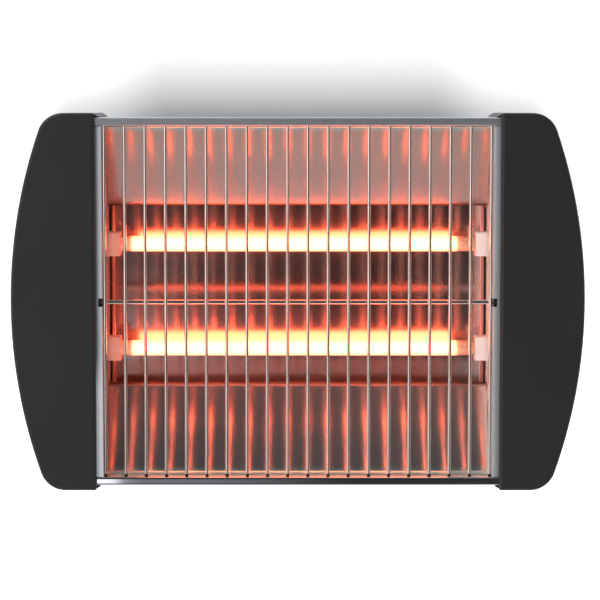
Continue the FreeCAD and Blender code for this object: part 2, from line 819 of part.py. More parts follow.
def pilot_lamp():
    """Round lens with a flange in the pocket and its body behind."""
    flange = round_y(-pocket_floor - lamp_flange_thickness, -pocket_floor, switch_x, lamp_height,
                     lamp_flange)
    dome_centre = V(switch_x, -pocket_floor - lamp_dome + lamp_dome_radius, lamp_height)
    dome = Part.makeSphere(lamp_dome_radius, dome_centre)
    lens = round_y(-pocket_floor - lamp_dome, -pocket_floor, switch_x, lamp_height, lamp_radius)
    dome = dome.common(lens)
    body = round_y(-pocket_floor - fit_gap, -pocket_floor + lamp_length, switch_x, lamp_height,
                   lamp_radius)
    return join(flange, dome, body)


def cord_gland():
    """Flanged bush for the mains cord, with a rounded mouth."""
    flange = round_y(pocket_floor, pocket_floor + gland_flange, switch_x, gland_height, gland_flange_radius)
    flange = rounded(flange, gland_flange / 2,
                     lambda edge: edge.Closed and edge.BoundBox.YMin > pocket_floor + gland_flange / 2)
    neck = round_y(pocket_floor + gland_flange - gland_length, pocket_floor + fit_gap,
                   switch_x, gland_height, gland_neck_radius)
    ring_face = pocket_floor - cap_wall - fit_gap
    ring = round_y(ring_face - gland_flange, ring_face, switch_x, gland_height, gland_ring_radius)
    bore = round_y(pocket_floor - gland_length, half_depth, switch_x, gland_height, gland_bore_radius)
    return cut(join(flange, neck, ring), bore)


def pole_places():
    """The Y of each pole of the terminal block."""
    pitch = block_length / block_poles
    return [block_start + pitch * (number + 0.5) for number in range(block_poles)]


def terminal_block():
    """Three pole block with a lead hole and a screw well for each pole."""
    x0 = cap_inner + block_reach
    low = block_seat + fit_gap
    body = block(x0, x0 + block_width, block_start, block_start + block_length, low, low + block_height)
    tools = []
    for y in pole_places():
        tools.append(round_x(x0 - over, x0 + pole_depth, y, low + pole_height, pole_radius))
        tools.append(round_z(low + pole_height, low + block_height + over, x0 + pole_screw_reach, y,
                             pole_screw_radius + screw_gap))
    return cut(body, *tools)


def pole_screw(y):
    """Clamp screw of one pole, standing on the lead."""
    x = cap_inner + block_reach + pole_screw_reach
    low = block_seat + fit_gap + pole_height + lead_radius + fit_gap
    return round_z(low, block_seat + block_height, x, y, pole_screw_radius)


def lead(points):
    """Insulated lead through the points, each bend as round as its two runs allow."""
    radii = []
    for before, at, after in zip(points, points[1:], points[2:]):
        half = (before - at).getAngle(after - at) / 2
        shorter = min((before - at).Length, (after - at).Length)
        radii.append(lead_bend_share * shorter * math.tan(half))
    wire = Part.Wire(bent_edges(points, radii))
    start = Part.Wire(Part.makeCircle(lead_radius, points[0], points[1] - points[0]))
    return wire.makePipeShell([start], True, False)


def leads():
    """The wiring: a link in the left cap and four leads in the right cap."""
    spade_end = pin_end + spade_length + lead_gap
    front_y = tube_places["front"]
    rear_y = tube_places["rear"]
    z = tube_height
    bow = spade_end + lead_out
    link = [V(-spade_end, front_y, z), V(-bow, front_y, z),
            V(-bow - lead_out, (front_y + rear_y) / 2, z - lead_out),
            V(-bow, rear_y, z), V(-spade_end, rear_y, z)]
    pole_z = block_seat + fit_gap + pole_height
    pole_x = cap_inner + block_reach + pole_depth - lead_radius
    mouth = cap_inner + block_reach - 2 * lead_step
    low_z = pole_z - 2 * lead_step
    first, second, third = pole_places()
    turn = bow - 2 * lead_step
    neutral = [V(spade_end, rear_y, z), V(turn, rear_y, z), V(turn, rear_y, z - lead_out),
               V(mouth - lead_step, first - 2 * lead_step, pole_z + lead_out),
               V(mouth - lead_step, first, pole_z), V(pole_x, first, pole_z)]
    switch_back = -(pocket_floor - barrel_depth) + spade_length + lead_gap
    tab_low, tab_high = switch_tab_heights
    live = [V(pole_x, second, pole_z), V(mouth, second, pole_z),
            V(mouth - lead_step, second - lead_out, low_z),
            V(mouth + lead_step, live_dip_y, low_z), V(mouth + lead_step, -live_dip_y, low_z),
            V(mouth + lead_step, live_rise_y, pole_z + lead_out),
            V(switch_x, switch_back + lead_out, tab_low), V(switch_x, switch_back, tab_low)]
    switched = [V(switch_x, switch_back, tab_high), V(switch_x, switch_back + lead_out, tab_high),
                V(bow + lead_step, front_y - lead_swing, tab_high),
                V(bow, front_y, z), V(spade_end, front_y, z)]
    earth_x = wall_outer + screw_head_height + fit_gap + lead_radius
    earth = [V(pole_x, third, pole_z), V(mouth, third, pole_z),
             V(earth_x + lead_step, third - lead_step, pole_z),
             V(earth_x, earth_screw_y, pole_z + lead_step),
             V(earth_x, earth_screw_y, earth_screw_height - screw_head_radius - lead_gap)]
    return {"element_link": link, "neutral_lead": neutral, "live_lead": live, "switched_lead": switched,
            "earth_lead": earth}


def earth_screw():
    """Screw and ring tag on the right wall."""
    start = wall_outer + fit_gap
    head = round_x(start, start + screw_head_height, earth_screw_y, earth_screw_height,
                   screw_head_radius)
    shank = round_x(wall_inner - screw_tip, start + fit_gap, earth_screw_y, earth_screw_height,
                    screw_radius)
    return join(head, shank)


def build():
    """Writes every node."""
    left_cap = mirrored(plain_cap(), ALONG_X)
    save("left_end_cap", left_cap)
    save("right_end_cap", right_cap())
    save("left_base_cover", mirrored(base_cover(False), ALONG_X))
    save("right_base_cover", base_cover(True))
    for end_name, end in ENDS:
        for side_name, side in SIDES:
            spots = [(x, y) for x, y in foot_spots() if y * end > 0]
            save(f"{end_name}_{side_name}_foot", *[foot(side * x, y) for x, y in spots])

    save("front_panel", panel(front_panel_bottom))
    save("rear_panel", mirrored(panel(body_bottom), ALONG_Y))
    right_wall = side_wall()
    save("right_side_wall", right_wall)
    save("left_side_wall", mirrored(right_wall, ALONG_X))
    for end_name, end in ENDS:
        save(f"{end_name}_reflector", reflector(end))

    save("grill_wires", *[grill_wire(x) for x in wire_places()])
    save("cross_rod", cross_rod())

    clips = []
    terminals = []
    for end_name, y in tube_places.items():
        save(f"{end_name}_quartz_tube", quartz_tube(y))
        save(f"{end_name}_heating_coil", heating_coil(y))
        save(f"{end_name}_right_holder", holder(y))
        save(f"{end_name}_left_holder", mirrored(holder(y), ALONG_X))
        clips += [holder_clip(y), mirrored(holder_clip(y), ALONG_X)]
        terminals += [element_terminal(y), mirrored(element_terminal(y), ALONG_X)]
    save("holder_clips", *clips)
    save("element_terminals", *terminals)

    save("crumb_tray", crumb_tray())
    save("right_tray_rail", tray_rail())
    save("left_tray_rail", mirrored(tray_rail(), ALONG_X))
    save("base_plate", base_plate())

    cap_screws = [screw_up(side * x, y, body_bottom - screw_head_height - fit_gap, screw_length)
                  for x, y in cap_screw_places() for _, side in SIDES]
    save("cap_screws", *cap_screws)
    cover_screws = [screw_up(side * x, y, cover_bottom - fit_gap, screw_length)
                    for x, y in cover_screw_spots() for _, side in SIDES]
    save("base_cover_screws", *cover_screws)
    plate_screws = [screw_up(x, y, body_bottom - screw_head_height - fit_gap, plate_screw_length)
                    for x, y in plate_screw_places()]
    save("base_plate_screws", *plate_screws)

    save("switch_body", switch_body())
    save("switch_rocker", switch_rocker())
    save("pilot_lamp", pilot_lamp())
    save("cord_gland", cord_gland())
    save("terminal_block", terminal_block())
    save("pole_screws", *[pole_screw(y) for y in pole_places()])
    save("earth_screw", earth_screw())
    for name, points in leads().items():
        save(name, lead(points))


build()
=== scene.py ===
from functools import partial
import math

import bmesh
import bpy
from bpy.props import FloatProperty, FloatVectorProperty, PointerProperty
from mathutils import Matrix, Vector
from mathutils.bvhtree import BVHTree


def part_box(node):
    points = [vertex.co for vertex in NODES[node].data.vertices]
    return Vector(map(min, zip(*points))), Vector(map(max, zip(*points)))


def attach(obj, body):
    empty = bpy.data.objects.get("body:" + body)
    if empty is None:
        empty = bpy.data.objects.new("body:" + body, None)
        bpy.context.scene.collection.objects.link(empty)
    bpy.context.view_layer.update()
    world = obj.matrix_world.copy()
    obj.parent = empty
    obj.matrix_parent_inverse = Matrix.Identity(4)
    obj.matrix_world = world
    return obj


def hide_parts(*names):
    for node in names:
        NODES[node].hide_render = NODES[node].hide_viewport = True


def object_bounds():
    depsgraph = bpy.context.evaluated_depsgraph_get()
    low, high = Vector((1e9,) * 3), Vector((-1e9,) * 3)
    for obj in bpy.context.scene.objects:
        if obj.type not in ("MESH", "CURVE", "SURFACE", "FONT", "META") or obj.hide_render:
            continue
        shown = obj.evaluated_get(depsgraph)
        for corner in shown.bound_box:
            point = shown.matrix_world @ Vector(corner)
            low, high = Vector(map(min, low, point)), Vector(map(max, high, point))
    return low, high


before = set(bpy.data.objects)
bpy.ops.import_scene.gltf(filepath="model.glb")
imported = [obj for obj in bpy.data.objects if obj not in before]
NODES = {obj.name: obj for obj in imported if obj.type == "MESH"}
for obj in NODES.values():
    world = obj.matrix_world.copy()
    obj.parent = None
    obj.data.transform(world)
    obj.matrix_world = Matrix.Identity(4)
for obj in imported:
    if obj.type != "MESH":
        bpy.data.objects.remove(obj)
CAD_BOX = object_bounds()
BODY = "toaster_body"

bl_info = {
    "name": "Flat Toaster",
    "version": (1, 0, 0),
    "blender": (4, 5, 0),
    "location": "3D View > Sidebar > Toaster",
    "description": "Dresses a flat toaster with quartz tubes, a wire grill and moulded end caps",
    "category": "Object",
}

# Lengths are in metres, +Z is up, -Y is the front and +X is right.
# Colours are red, green and blue from 0 to 1. A mask is 1 where its part of the surface is.

PICTURE_PIXELS = 600
FLOOR_REACH = 3.0
SHARP_ANGLE = math.radians(35.0)
SAME_POINT = 1e-6
EVEN = (1.0, 1.0, 1.0)
ENDS = ("front", "rear")
SIDES = ("left", "right")

# Steel: rolling lines and stains in a metre, the relief of a line, and how dark a stain is
ROLLING_LINES = 1400.0
STEEL_STAINS = 38.0
LINE_DEPTH = 0.00002
STAIN_SHADE = 0.86
SPRING_STEEL = (0.45, 0.45, 0.47)

# Sizes of the made pieces
STEPS_IN_A_TURN = 14
SIDES_OF_A_WIRE = 7
BEAD_RADIUS = 0.0013
GROOVE = 0.0006
THREAD_PITCH = 0.0011
MARK_HEIGHT = 0.00018
MARK_RISE = 0.0044


# Node trees written as expressions


class Value:
    """The output of a node, on which maths is written as a Python expression."""

    def __init__(self, tree, node, output):
        self.tree = tree
        self.node = node
        self.socket = node.outputs[output]

    def out(self, output):
        """Another output of the same node."""
        return Value(self.tree, self.node, output)

    def maths(self, operation, *values):
        """A Math node on the values."""
        return self.tree.node("ShaderNodeMath", {"operation": operation}, dict(enumerate(values)))

    def __add__(self, other):
        return self.maths("ADD", self, other)

    __radd__ = __add__

    def __sub__(self, other):
        return self.maths("SUBTRACT", self, other)

    def __rsub__(self, other):
        return self.maths("SUBTRACT", other, self)

    def __mul__(self, other):
        return self.maths("MULTIPLY", self, other)

    __rmul__ = __mul__

    def __truediv__(self, other):
        return self.maths("DIVIDE", self, other)

    def __pow__(self, other):
        return self.maths("POWER", self, other)

    def __abs__(self):
        return self.maths("ABSOLUTE", self)

    def least(self, other):
        """The smaller of two values."""
        return self.maths("MINIMUM", self, other)

    def most(self, other):
        """The larger of two values."""
        return self.maths("MAXIMUM", self, other)

    def ease(self, start, end):
        """0 at start, 1 at end and smooth between them; start may lie above end."""
        settings = {"interpolation_type": "SMOOTHSTEP"}
        inputs = {"Value": self, "From Min": start, "From Max": end}
        if start > end:
            inputs.update({"From Min": end, "From Max": start, "To Min": 1.0, "To Max": 0.0})
        return self.tree.node("ShaderNodeMapRange", settings, inputs, "Result")

    def parts(self):
        """The X, Y and Z of a vector."""
        split = self.tree.node("ShaderNodeSeparateXYZ", {}, {0: self}, "X")
        return split, split.out("Y"), split.out("Z")


class Tree:
    """Fills a node tree: each node takes its settings first and then its sockets' values or links."""

    def __init__(self, tree):
        self.tree = tree

    def node(self, kind, settings=None, inputs=None, output=0):
        """A node, as the value of its output if it has any."""
        node = self.tree.nodes.new(kind)
        for name, setting in (settings or {}).items():
            setattr(node, name, setting)
        for key, value in (inputs or {}).items():
            socket = node.inputs[key]
            if isinstance(value, Value):
                self.tree.links.new(value.socket, socket)
            elif socket.type == "RGBA":
                socket.default_value = (*value, 1.0)
            else:
                socket.default_value = value
        return Value(self, node, output) if node.outputs else node

    def blend(self, share, first, second):
        """Colour between two colours."""
        settings = {"data_type": "RGBA"}
        return self.node("ShaderNodeMix", settings, {"Factor": share, 6: first, 7: second}, 2)

    def grey(self, level):
        """Neutral colour of a given level."""
        return self.node("ShaderNodeCombineColor", {}, {"Red": level, "Green": level, "Blue": level})

    def vector(self, **parts):
        """Vector from its X, Y or Z, with 0 for the rest."""
        return self.node("ShaderNodeCombineXYZ", {}, parts)


class Finish(Tree):
    """A material's node tree, with the textures and masks that the finishes share."""

    def __init__(self, name):
        self.material = bpy.data.materials.new(name)
        self.material.use_nodes = True
        super().__init__(self.material.node_tree)
        self.tree.nodes.clear()
        self.place = self.node("ShaderNodeTexCoord", {}, {}, "Object")

    def grain(self, per_metre, detail=3.0, stretch=EVEN):
        """Noise from 0 to 1 with this many spots in a metre, drawn out where the stretch is small."""
        place = self.node("ShaderNodeMapping", {}, {"Vector": self.place, "Scale": stretch})
        return self.node("ShaderNodeTexNoise", {}, {"Vector": place, "Scale": per_metre, "Detail": detail})

    def cells(self, per_metre, output="Distance"):
        """Cells with this many in a metre."""
        return self.node("ShaderNodeTexVoronoi", {}, {"Vector": self.place, "Scale": per_metre}, output)

    def shaded(self, share, colour, factor):
        """Colour that is this many times as bright where the share is 1."""
        return self.blend(share, colour, tuple(part * factor for part in colour))

    def right_half(self):
        """Mask of the right half, eased in over 10 cm about the middle."""
        return self.place.parts()[0].ease(-0.05, 0.05)

    def off_tubes(self):
        """Distance along Y from the nearer tube."""
        _, along_y, _ = self.place.parts()
        front, rear = tube_lines()
        return abs(along_y - front).least(abs(along_y - rear))

    def relief(self, height, depth, strength):
        """Surface relief from a height of 0 to 1, in metres of depth."""
        return self.node("ShaderNodeBump", {}, {"Strength": strength, "Distance": depth, "Height": height})

    def surface(self, **sockets):
        """Ends the tree in a Principled surface; socket names are written with underscores."""
        inputs = {name.replace("_", " "): value for name, value in sockets.items()}
        shader = self.node("ShaderNodeBsdfPrincipled", {}, inputs)
        self.node("ShaderNodeOutputMaterial", {}, {"Surface": shader})
        return self.material


# Places on the CAD model


def centre(name):
    """Middle of a CAD node's box."""
    low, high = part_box(name)
    return (Vector(low) + Vector(high)) / 2


def tube_lines():
    """The Y of the front and the rear tube."""
    return centre("front_quartz_tube").y, centre("rear_quartz_tube").y


def islands(name):
    """Boxes of the separate solids of a CAD node."""
    copy = bmesh.new()
    copy.from_mesh(NODES[name].data)
    bmesh.ops.remove_doubles(copy, verts=copy.verts, dist=SAME_POINT)
    seen = set()
    boxes = []
    for start in copy.verts:
        if start in seen:
            continue
        seen.add(start)
        group = [start]
        for vertex in group:
            for edge in vertex.link_edges:
                other = edge.other_vert(vertex)
                if other not in seen:
                    seen.add(other)
                    group.append(other)
        low = Vector([min(vertex.co[axis] for vertex in group) for axis in range(3)])
        high = Vector([max(vertex.co[axis] for vertex in group) for axis in range(3)])
        boxes.append((low, high))
    copy.free()
    return boxes


# Finishes


def dress(material, *names):
    """Gives CAD nodes a finish."""
    for name in names:
        for slot in NODES[name].material_slots:
            slot.material = material


def black_plastic(colours):
    """Black moulded plastic with a fine spark-eroded grain."""
    finish = Finish("black_moulded_plastic")
    grain = finish.grain(2600.0, detail=2.0)
    cloud = finish.grain(9.0)
    return finish.surface(
        Base_Color=finish.shaded(cloud, colours.plastic, 1.25),
        Roughness=0.34 + grain * 0.10 + cloud * 0.06,
        Specular_IOR_Level=0.42,
        Normal=finish.relief(grain, 0.00004, 0.35),
    )


def rolled_sheet(finish, colour, roughness, stretch):
    """Colour, roughness and relief of sheet steel with rolling lines and faint stains."""
    lines = finish.grain(ROLLING_LINES, detail=4.0, stretch=stretch)
    stains = finish.grain(STEEL_STAINS, detail=4.0)
    shade = finish.shaded(stains, colour, STAIN_SHADE)
    rough = roughness * (0.8 + lines * 0.25 + stains * 0.15)
    return shade, rough, finish.relief(lines, LINE_DEPTH, roughness * 0.7)


def rolled_steel(name, colour, roughness, stretch=EVEN):
    """Plain rolled metal."""
    finish = Finish(name)
    shade, rough, lines = rolled_sheet(finish, colour, roughness, stretch)
    return finish.surface(Base_Color=shade, Metallic=1.0, Roughness=rough, Normal=lines)


def panel_steel(name, colours, roughness, metal):
    """Panel steel, polished or satin outside and dull and warm on the lip that faces the tubes."""
    finish = Finish(name)
    _, along_y, along_z = finish.place.parts()
    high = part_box("front_panel")[1][2]
    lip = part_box("front_reflector")[0][1]
    under_top = along_z.ease(high - 0.0006, high - 0.0012)
    behind_bend = abs(along_y).ease(abs(lip) + 0.0014, abs(lip) + 0.0010)
    inside = under_top * behind_bend
    shade, rough, lines = rolled_sheet(finish, colours.steel, roughness, (0.03, 1.0, 1.0))
    return finish.surface(
        Base_Color=finish.blend(inside, shade, colours.warm_steel),
        Metallic=metal + inside * (1.0 - metal),
        Roughness=rough + inside * 0.45,
        Normal=lines,
    )


def side_wall_steel(colours):
    """Satin steel, lighter on the left as painted light and with a painted highlight at its left front,
    heated inside with painted shade on the left, and with painted shade along the caps.
    """
    finish = Finish("side_wall_steel")
    along_x, along_y, along_z = finish.place.parts()
    right = finish.right_half()
    _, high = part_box("right_side_wall")
    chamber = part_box("front_reflector")[1][0] + 0.0009
    above_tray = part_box("crumb_tray")[1][2]
    inside = abs(along_x).ease(chamber + 0.0002, chamber) * along_z.ease(high[2] - 0.001, high[2] - 0.002)
    inside = inside * along_z.ease(above_tray - 0.006, above_tray)
    outside = 1.0 - inside
    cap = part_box("front_panel")[1][0]
    # Painted shade: the strips darken along the caps, as if shaded by them
    left_cap_shade = along_x.ease(0.0035 - cap, -cap)
    right_cap_shade = along_x.ease(cap - 0.0036, cap) * 0.65
    # Painted highlight: a lighter patch, mottled by the stains, at the left strip's front
    highlight_patch = along_x.ease(0.0, -0.05) * along_y.ease(-0.030, -0.060) * outside
    dust_and_shade = right_cap_shade.most(left_cap_shade * (1.0 - highlight_patch * 0.6)) * outside
    stains = finish.grain(STEEL_STAINS, detail=4.0)
    lines = finish.grain(ROLLING_LINES, detail=4.0, stretch=(1.0, 0.03, 1.0))
    # Painted light: the left strip is made lighter than the right, as if more light falls on it
    lit_left_steel, right_steel = (tuple(part * level for part in colours.steel) for level in (1.30, 1.02))
    stained = tuple(part * STAIN_SHADE for part in colours.steel)
    shade = finish.blend(stains * 0.3, finish.blend(right, lit_left_steel, right_steel), stained)
    shade = finish.blend(highlight_patch * (0.5 + stains), shade, colours.highlight_steel)
    # Painted shade: inside, the left wall is darker and bluer than the right, which keeps the warm heat
    # tint
    heated = finish.blend(right, colours.shaded_wall_steel, colours.warm_steel)
    return finish.surface(
        Base_Color=finish.blend(dust_and_shade * 0.85, finish.blend(inside, shade, heated), colours.dust_and_shade),
        Metallic=0.62,
        Roughness=0.44 + inside * 0.10 + lines * 0.08,
        Normal=finish.relief(lines, LINE_DEPTH, 0.2),
    )


def reflector_sheet(colours):
    """Wavy polished sheet, pinker behind and near the tubes as painted glow and partly heat tint, darker at
    its hem and satin on its upstand.
    """
    finish = Finish("polished_reflector_sheet")
    _, along_y, along_z = finish.place.parts()
    front, rear = tube_lines()
    near_tubes = abs(along_y - (front + rear) / 2).ease(0.112, 0.060)
    behind = along_y.ease(-0.02, 0.02)
    low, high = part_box("front_reflector")
    upright = along_z.ease(high[2] - 0.011, high[2] - 0.009)
    hem = along_z.ease(low[2] + 0.0055, low[2] + 0.0042)
    stains = finish.grain(30.0, detail=4.0)
    lines = finish.grain(900.0, stretch=(0.02, 1.0, 1.0))
    waves = finish.grain(12.0, detail=1.0)
    # Painted light: the sheet behind the tubes is pinker than in front, and pinker again near the tubes,
    # for the tubes' red glow; near the tubes it is partly heat tint
    tint = finish.blend(behind, colours.front_reflector, colours.rear_reflector)
    tint = finish.blend(near_tubes * 0.7 + stains * 0.3, tint, colours.heat_tint_and_glow)
    tint = finish.blend(upright, tint, colours.warm_steel)
    smooth = 0.12 + behind * 0.04 + stains * 0.05 + lines * 0.03
    return finish.surface(
        Base_Color=finish.blend(hem, tint, colours.dark_hem),
        Metallic=1.0,
        Roughness=smooth + upright * 0.06 + hem * 0.35,
        Normal=finish.relief(waves, 0.0003, 0.04),
    )


def chrome_wire(colours):
    """Bright plated wire that has turned straw over the tubes, with painted shade on its front end where it
    passes the front lip.
    """
    finish = Finish("plated_wire")
    _, along_y, _ = finish.place.parts()
    heat = finish.off_tubes().ease(0.030, 0.006)
    patches = finish.grain(60.0)
    drawing_lines = finish.grain(260.0, stretch=(1.0, 0.06, 1.0))
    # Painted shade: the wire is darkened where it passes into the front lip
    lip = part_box("front_panel")[1][1]
    lip_end_shade = along_y.ease(lip - 0.0009, lip - 0.0015)
    shade = finish.blend(heat * patches, colours.wire, colours.straw)
    return finish.surface(
        Base_Color=finish.blend(lip_end_shade, shade, colours.lip_end_shade),
        Metallic=1.0,
        Roughness=0.10 + patches * 0.08 + lip_end_shade * 0.4,
        Normal=finish.relief(drawing_lines, LINE_DEPTH, 0.08),
    )


def glow_share(finish, glow, half_length):
    """1 over the heated stretch of a tube and 0 at its cold ends."""
    along_x, _, _ = finish.place.parts()
    end = half_length - glow.cold_end
    return abs(along_x + glow.shift).ease(end, end - glow.fade)


def hot_wire(glow, half_length):
    """Resistance wire that glows along its wound stretch."""
    finish = Finish("glowing_resistance_wire")
    hot = glow_share(finish, glow, half_length)
    scale = finish.grain(500.0)
    return finish.surface(
        Base_Color=finish.blend(scale, (0.22, 0.18, 0.16), (0.36, 0.32, 0.30)),
        Metallic=1.0,
        Roughness=0.45 + scale * 0.2,
        Emission_Color=finish.blend(hot, (0.0, 0.0, 0.0), glow.coil_colour),
        Emission_Strength=glow.coil_strength,
    )


def quartz(glow, half_length):
    """Satin quartz that glows with the coil behind it and is salmon at its cold ends."""
    finish = Finish("satin_quartz")
    hot = glow_share(finish, glow, half_length)
    haze = finish.grain(160.0)
    edge = finish.node("ShaderNodeLayerWeight", {}, {"Blend": 0.35}, "Facing")
    return finish.surface(
        Base_Color=finish.blend(haze, (0.78, 0.52, 0.36), (0.84, 0.59, 0.44)),
        Roughness=0.16 + haze * 0.12,
        Alpha=0.30 + edge * 0.35 + haze * 0.10,
        Emission_Color=finish.blend(hot, (0.0, 0.0, 0.0), glow.tube_colour),
        Emission_Strength=glow.tube_strength,
        Normal=finish.relief(haze, 0.00005, 0.2),
    )


def ceramic(colours):
    """Unglazed steatite, darker and redder on the left as painted shade, scorched around the tube's hole,
    and glowing all over as painted light from the tubes, most around the hole.
    """
    finish = Finish("steatite")
    _, _, along_z = finish.place.parts()
    off_axis = finish.off_tubes()
    away = (off_axis * off_axis + (along_z - centre("front_quartz_tube").z) ** 2.0) ** 0.5
    scorch = away.ease(0.009, 0.0055)
    speck = finish.grain(900.0, detail=2.0)
    # Painted shade: the left holders are darker and redder than the right
    shade_split_ceramic = finish.blend(finish.right_half(), colours.shaded_ceramic, colours.ceramic)
    return finish.surface(
        Base_Color=finish.blend(scorch * (0.4 + speck * 0.4), shade_split_ceramic, (0.52, 0.36, 0.28)),
        Roughness=0.62 + speck * 0.15,
        # Painted light: the holders glow in their own colour all over, and orange around the hole, as if
        # lit by the tubes
        Emission_Color=finish.blend(scorch * 0.5, shade_split_ceramic, (0.9, 0.35, 0.2)),
        Emission_Strength=0.28,
        Normal=finish.relief(speck, 0.00005, 0.5),
    )


def tray_sheet(colours):
    """Bright tray sheet, orange-red as painted glow of the tubes, blue under the tubes and paler at the
    right as painted light, with dull bends darkened as painted shade, and wiping marks.
    """
    finish = Finish("bright_tray_sheet")
    along_x, along_y, _ = finish.place.parts()
    band = finish.off_tubes().ease(0.034, 0.004)
    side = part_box("crumb_tray")[1][0]
    # Painted light: the tray is paler towards its right side
    lit_right = along_x.ease(side - 0.060, side - 0.006)
    bend = abs(along_x).ease(side - 0.0022, side - 0.0012)
    floor = abs(along_y).ease(0.112, 0.106)
    front_stretch = along_y.ease(-0.040, -0.048)
    wipes = finish.grain(900.0, detail=2.0, stretch=(1.0, 0.02, 1.0))
    stains = finish.grain(24.0, detail=5.0)
    # The tray colour is orange-red as painted glow of the tubes
    sheet = finish.blend(lit_right, colours.tray, (0.86, 0.76, 0.74))
    under_tubes = finish.blend(band * stains, sheet, (0.55, 0.52, 0.60))
    shade = finish.blend(floor, colours.steel, under_tubes)
    return finish.surface(
        # Painted shade: the bends at the tray's sides are darkened
        Base_Color=finish.blend(bend, shade, (0.46, 0.34, 0.33)),
        Metallic=1.0,
        Roughness=0.12 + stains * 0.04 + bend * 0.35 + front_stretch * 0.12,
        Normal=finish.relief(wipes, 0.00003, 0.55),
    )


def galvanised():
    """Galvanised sheet with its spangle of crystals."""
    finish = Finish("galvanised_sheet")
    tone, _, _ = finish.cells(150.0, "Color").parts()
    fine = finish.grain(900.0)
    return finish.surface(
        Base_Color=finish.blend(tone, (0.42, 0.43, 0.45), (0.60, 0.61, 0.62)),
        Metallic=1.0,
        Roughness=0.32 + tone * 0.18 + fine * 0.06,
        Normal=finish.relief(tone * 0.5 + fine * 0.5, 0.00003, 0.4),
    )


def zinc():
    """Zinc plated steel with a faint yellow pass."""
    finish = Finish("zinc_plate")
    cloud = finish.grain(260.0)
    return finish.surface(
        Base_Color=finish.blend(cloud, (0.60, 0.59, 0.56), (0.68, 0.64, 0.54)),
        Metallic=1.0,
        Roughness=0.26 + cloud * 0.16,
        Normal=finish.relief(cloud, 0.00002, 0.4),
    )


def rubber():
    """Dull black rubber, dusty in its pores."""
    finish = Finish("black_rubber")
    pores = finish.grain(1500.0)
    dust_and_shade = finish.grain(120.0)
    return finish.surface(
        Base_Color=finish.blend(dust_and_shade, (0.018, 0.018, 0.018), (0.040, 0.039, 0.037)),
        Roughness=0.72 + pores * 0.15,
        Normal=finish.relief(pores, 0.00008, 0.5),
    )


def gloss_plastic(name, colour):
    """Smooth injection moulded plastic with slight sink waves."""
    finish = Finish(name)
    cloud = finish.grain(90.0)
    return finish.surface(
        Base_Color=finish.blend(cloud, colour, tuple(part * 1.3 + 0.004 for part in colour)),
        Roughness=0.16 + cloud * 0.10,
        Normal=finish.relief(cloud, 0.00006, 0.3),
    )


def lamp_lens():
    """Red lens with the lamp lit behind it."""
    finish = Finish("lit_red_lens")
    ribs = finish.cells(900.0)
    return finish.surface(
        Base_Color=finish.blend(ribs, (0.60, 0.03, 0.015), (0.85, 0.10, 0.04)),
        Roughness=0.12 + ribs * 0.2,
        Emission_Color=finish.blend(ribs, (1.0, 0.10, 0.03), (1.0, 0.22, 0.08)),
        Emission_Strength=0.9,
        Normal=finish.relief(ribs, 0.0001, 0.5),
    )


def sleeve(name, colour):
    """Silicone sleeve of a lead, with a braid under its skin."""
    finish = Finish(name)
    braid = finish.cells(1600.0)
    return finish.surface(
        Base_Color=finish.shaded(braid, colour, 1.4),
        Roughness=0.38 + braid * 0.2,
        Normal=finish.relief(braid, 0.00005, 0.5),
    )


# Pieces


def add_object(name, data):
    """Puts a mesh, a lamp or a camera into the scene."""
    piece = bpy.data.objects.new(name, data)
    bpy.context.scene.collection.objects.link(piece)
    return piece


def smooth_object(name, mesh):
    """Object that is shaded smooth except at its sharp edges."""
    mesh.shade_smooth()
    mesh.set_sharp_from_angle(angle=SHARP_ANGLE)
    return add_object(name, mesh)


def solid_from(name, maker, material):
    """Object made by a function that fills a bmesh."""
    shape = bmesh.new()
    maker(shape)
    bmesh.ops.remove_doubles(shape, verts=shape.verts, dist=SAME_POINT)
    bmesh.ops.recalc_face_normals(shape, faces=shape.faces)
    mesh = bpy.data.meshes.new(name)
    shape.to_mesh(mesh)
    shape.free()
    mesh.materials.append(material)
    return smooth_object(name, mesh)


def revolve(shape, profile, steps):
    """Turns a profile of (radius, height) pairs about Z, closing its poles."""
    points = [shape.verts.new((radius, 0.0, height)) for radius, height in profile]
    edges = [shape.edges.new(pair) for pair in zip(points, points[1:])]
    turned = points + edges
    bmesh.ops.spin(shape, geom=turned, cent=(0, 0, 0), axis=(0, 0, 1), angle=2 * math.pi, steps=steps)
    bmesh.ops.remove_doubles(shape, verts=shape.verts, dist=SAME_POINT)


def tree_piece(name, source, tree, values, material):
    """Plain object from a Geometry Nodes tree run over a source mesh."""
    holder = add_object(f"{name}_source", source)
    modifier = holder.modifiers.new(name, "NODES")
    modifier.node_group = tree
    sockets = {item.name: item.identifier for item in tree.interface.items_tree if item.in_out == "INPUT"}
    for label, value in {**values, "Finish": material}.items():
        modifier[sockets[label]] = value
    result = holder.evaluated_get(bpy.context.evaluated_depsgraph_get())
    mesh = bpy.data.meshes.new_from_object(result)
    holder.modifiers.remove(modifier)
    bpy.data.objects.remove(holder)
    return smooth_object(name, mesh)


def open_geometry_tree(name, inputs):
    """Geometry Nodes tree with named inputs; gives the tree and the inputs as values."""
    group = bpy.data.node_groups.new(name, "GeometryNodeTree")
    kinds = {"Geometry": "NodeSocketGeometry", **inputs, "Finish": "NodeSocketMaterial"}
    for label, kind in kinds.items():
        group.interface.new_socket(label, in_out="INPUT", socket_type=kind)
    group.interface.new_socket("Geometry", in_out="OUTPUT", socket_type="NodeSocketGeometry")
    tree = Tree(group)
    entry = tree.node("NodeGroupInput")
    return tree, {label: entry.out(label) for label in kinds}


def close_geometry_tree(tree, geometry, finish):
    """Ends a tree in plain mesh with its finish."""
    real = tree.node("GeometryNodeRealizeInstances", {}, {"Geometry": geometry})
    dressed = tree.node("GeometryNodeSetMaterial", {}, {"Geometry": real, "Material": finish})
    tree.node("NodeGroupOutput", {}, {"Geometry": dressed})
    return tree.tree


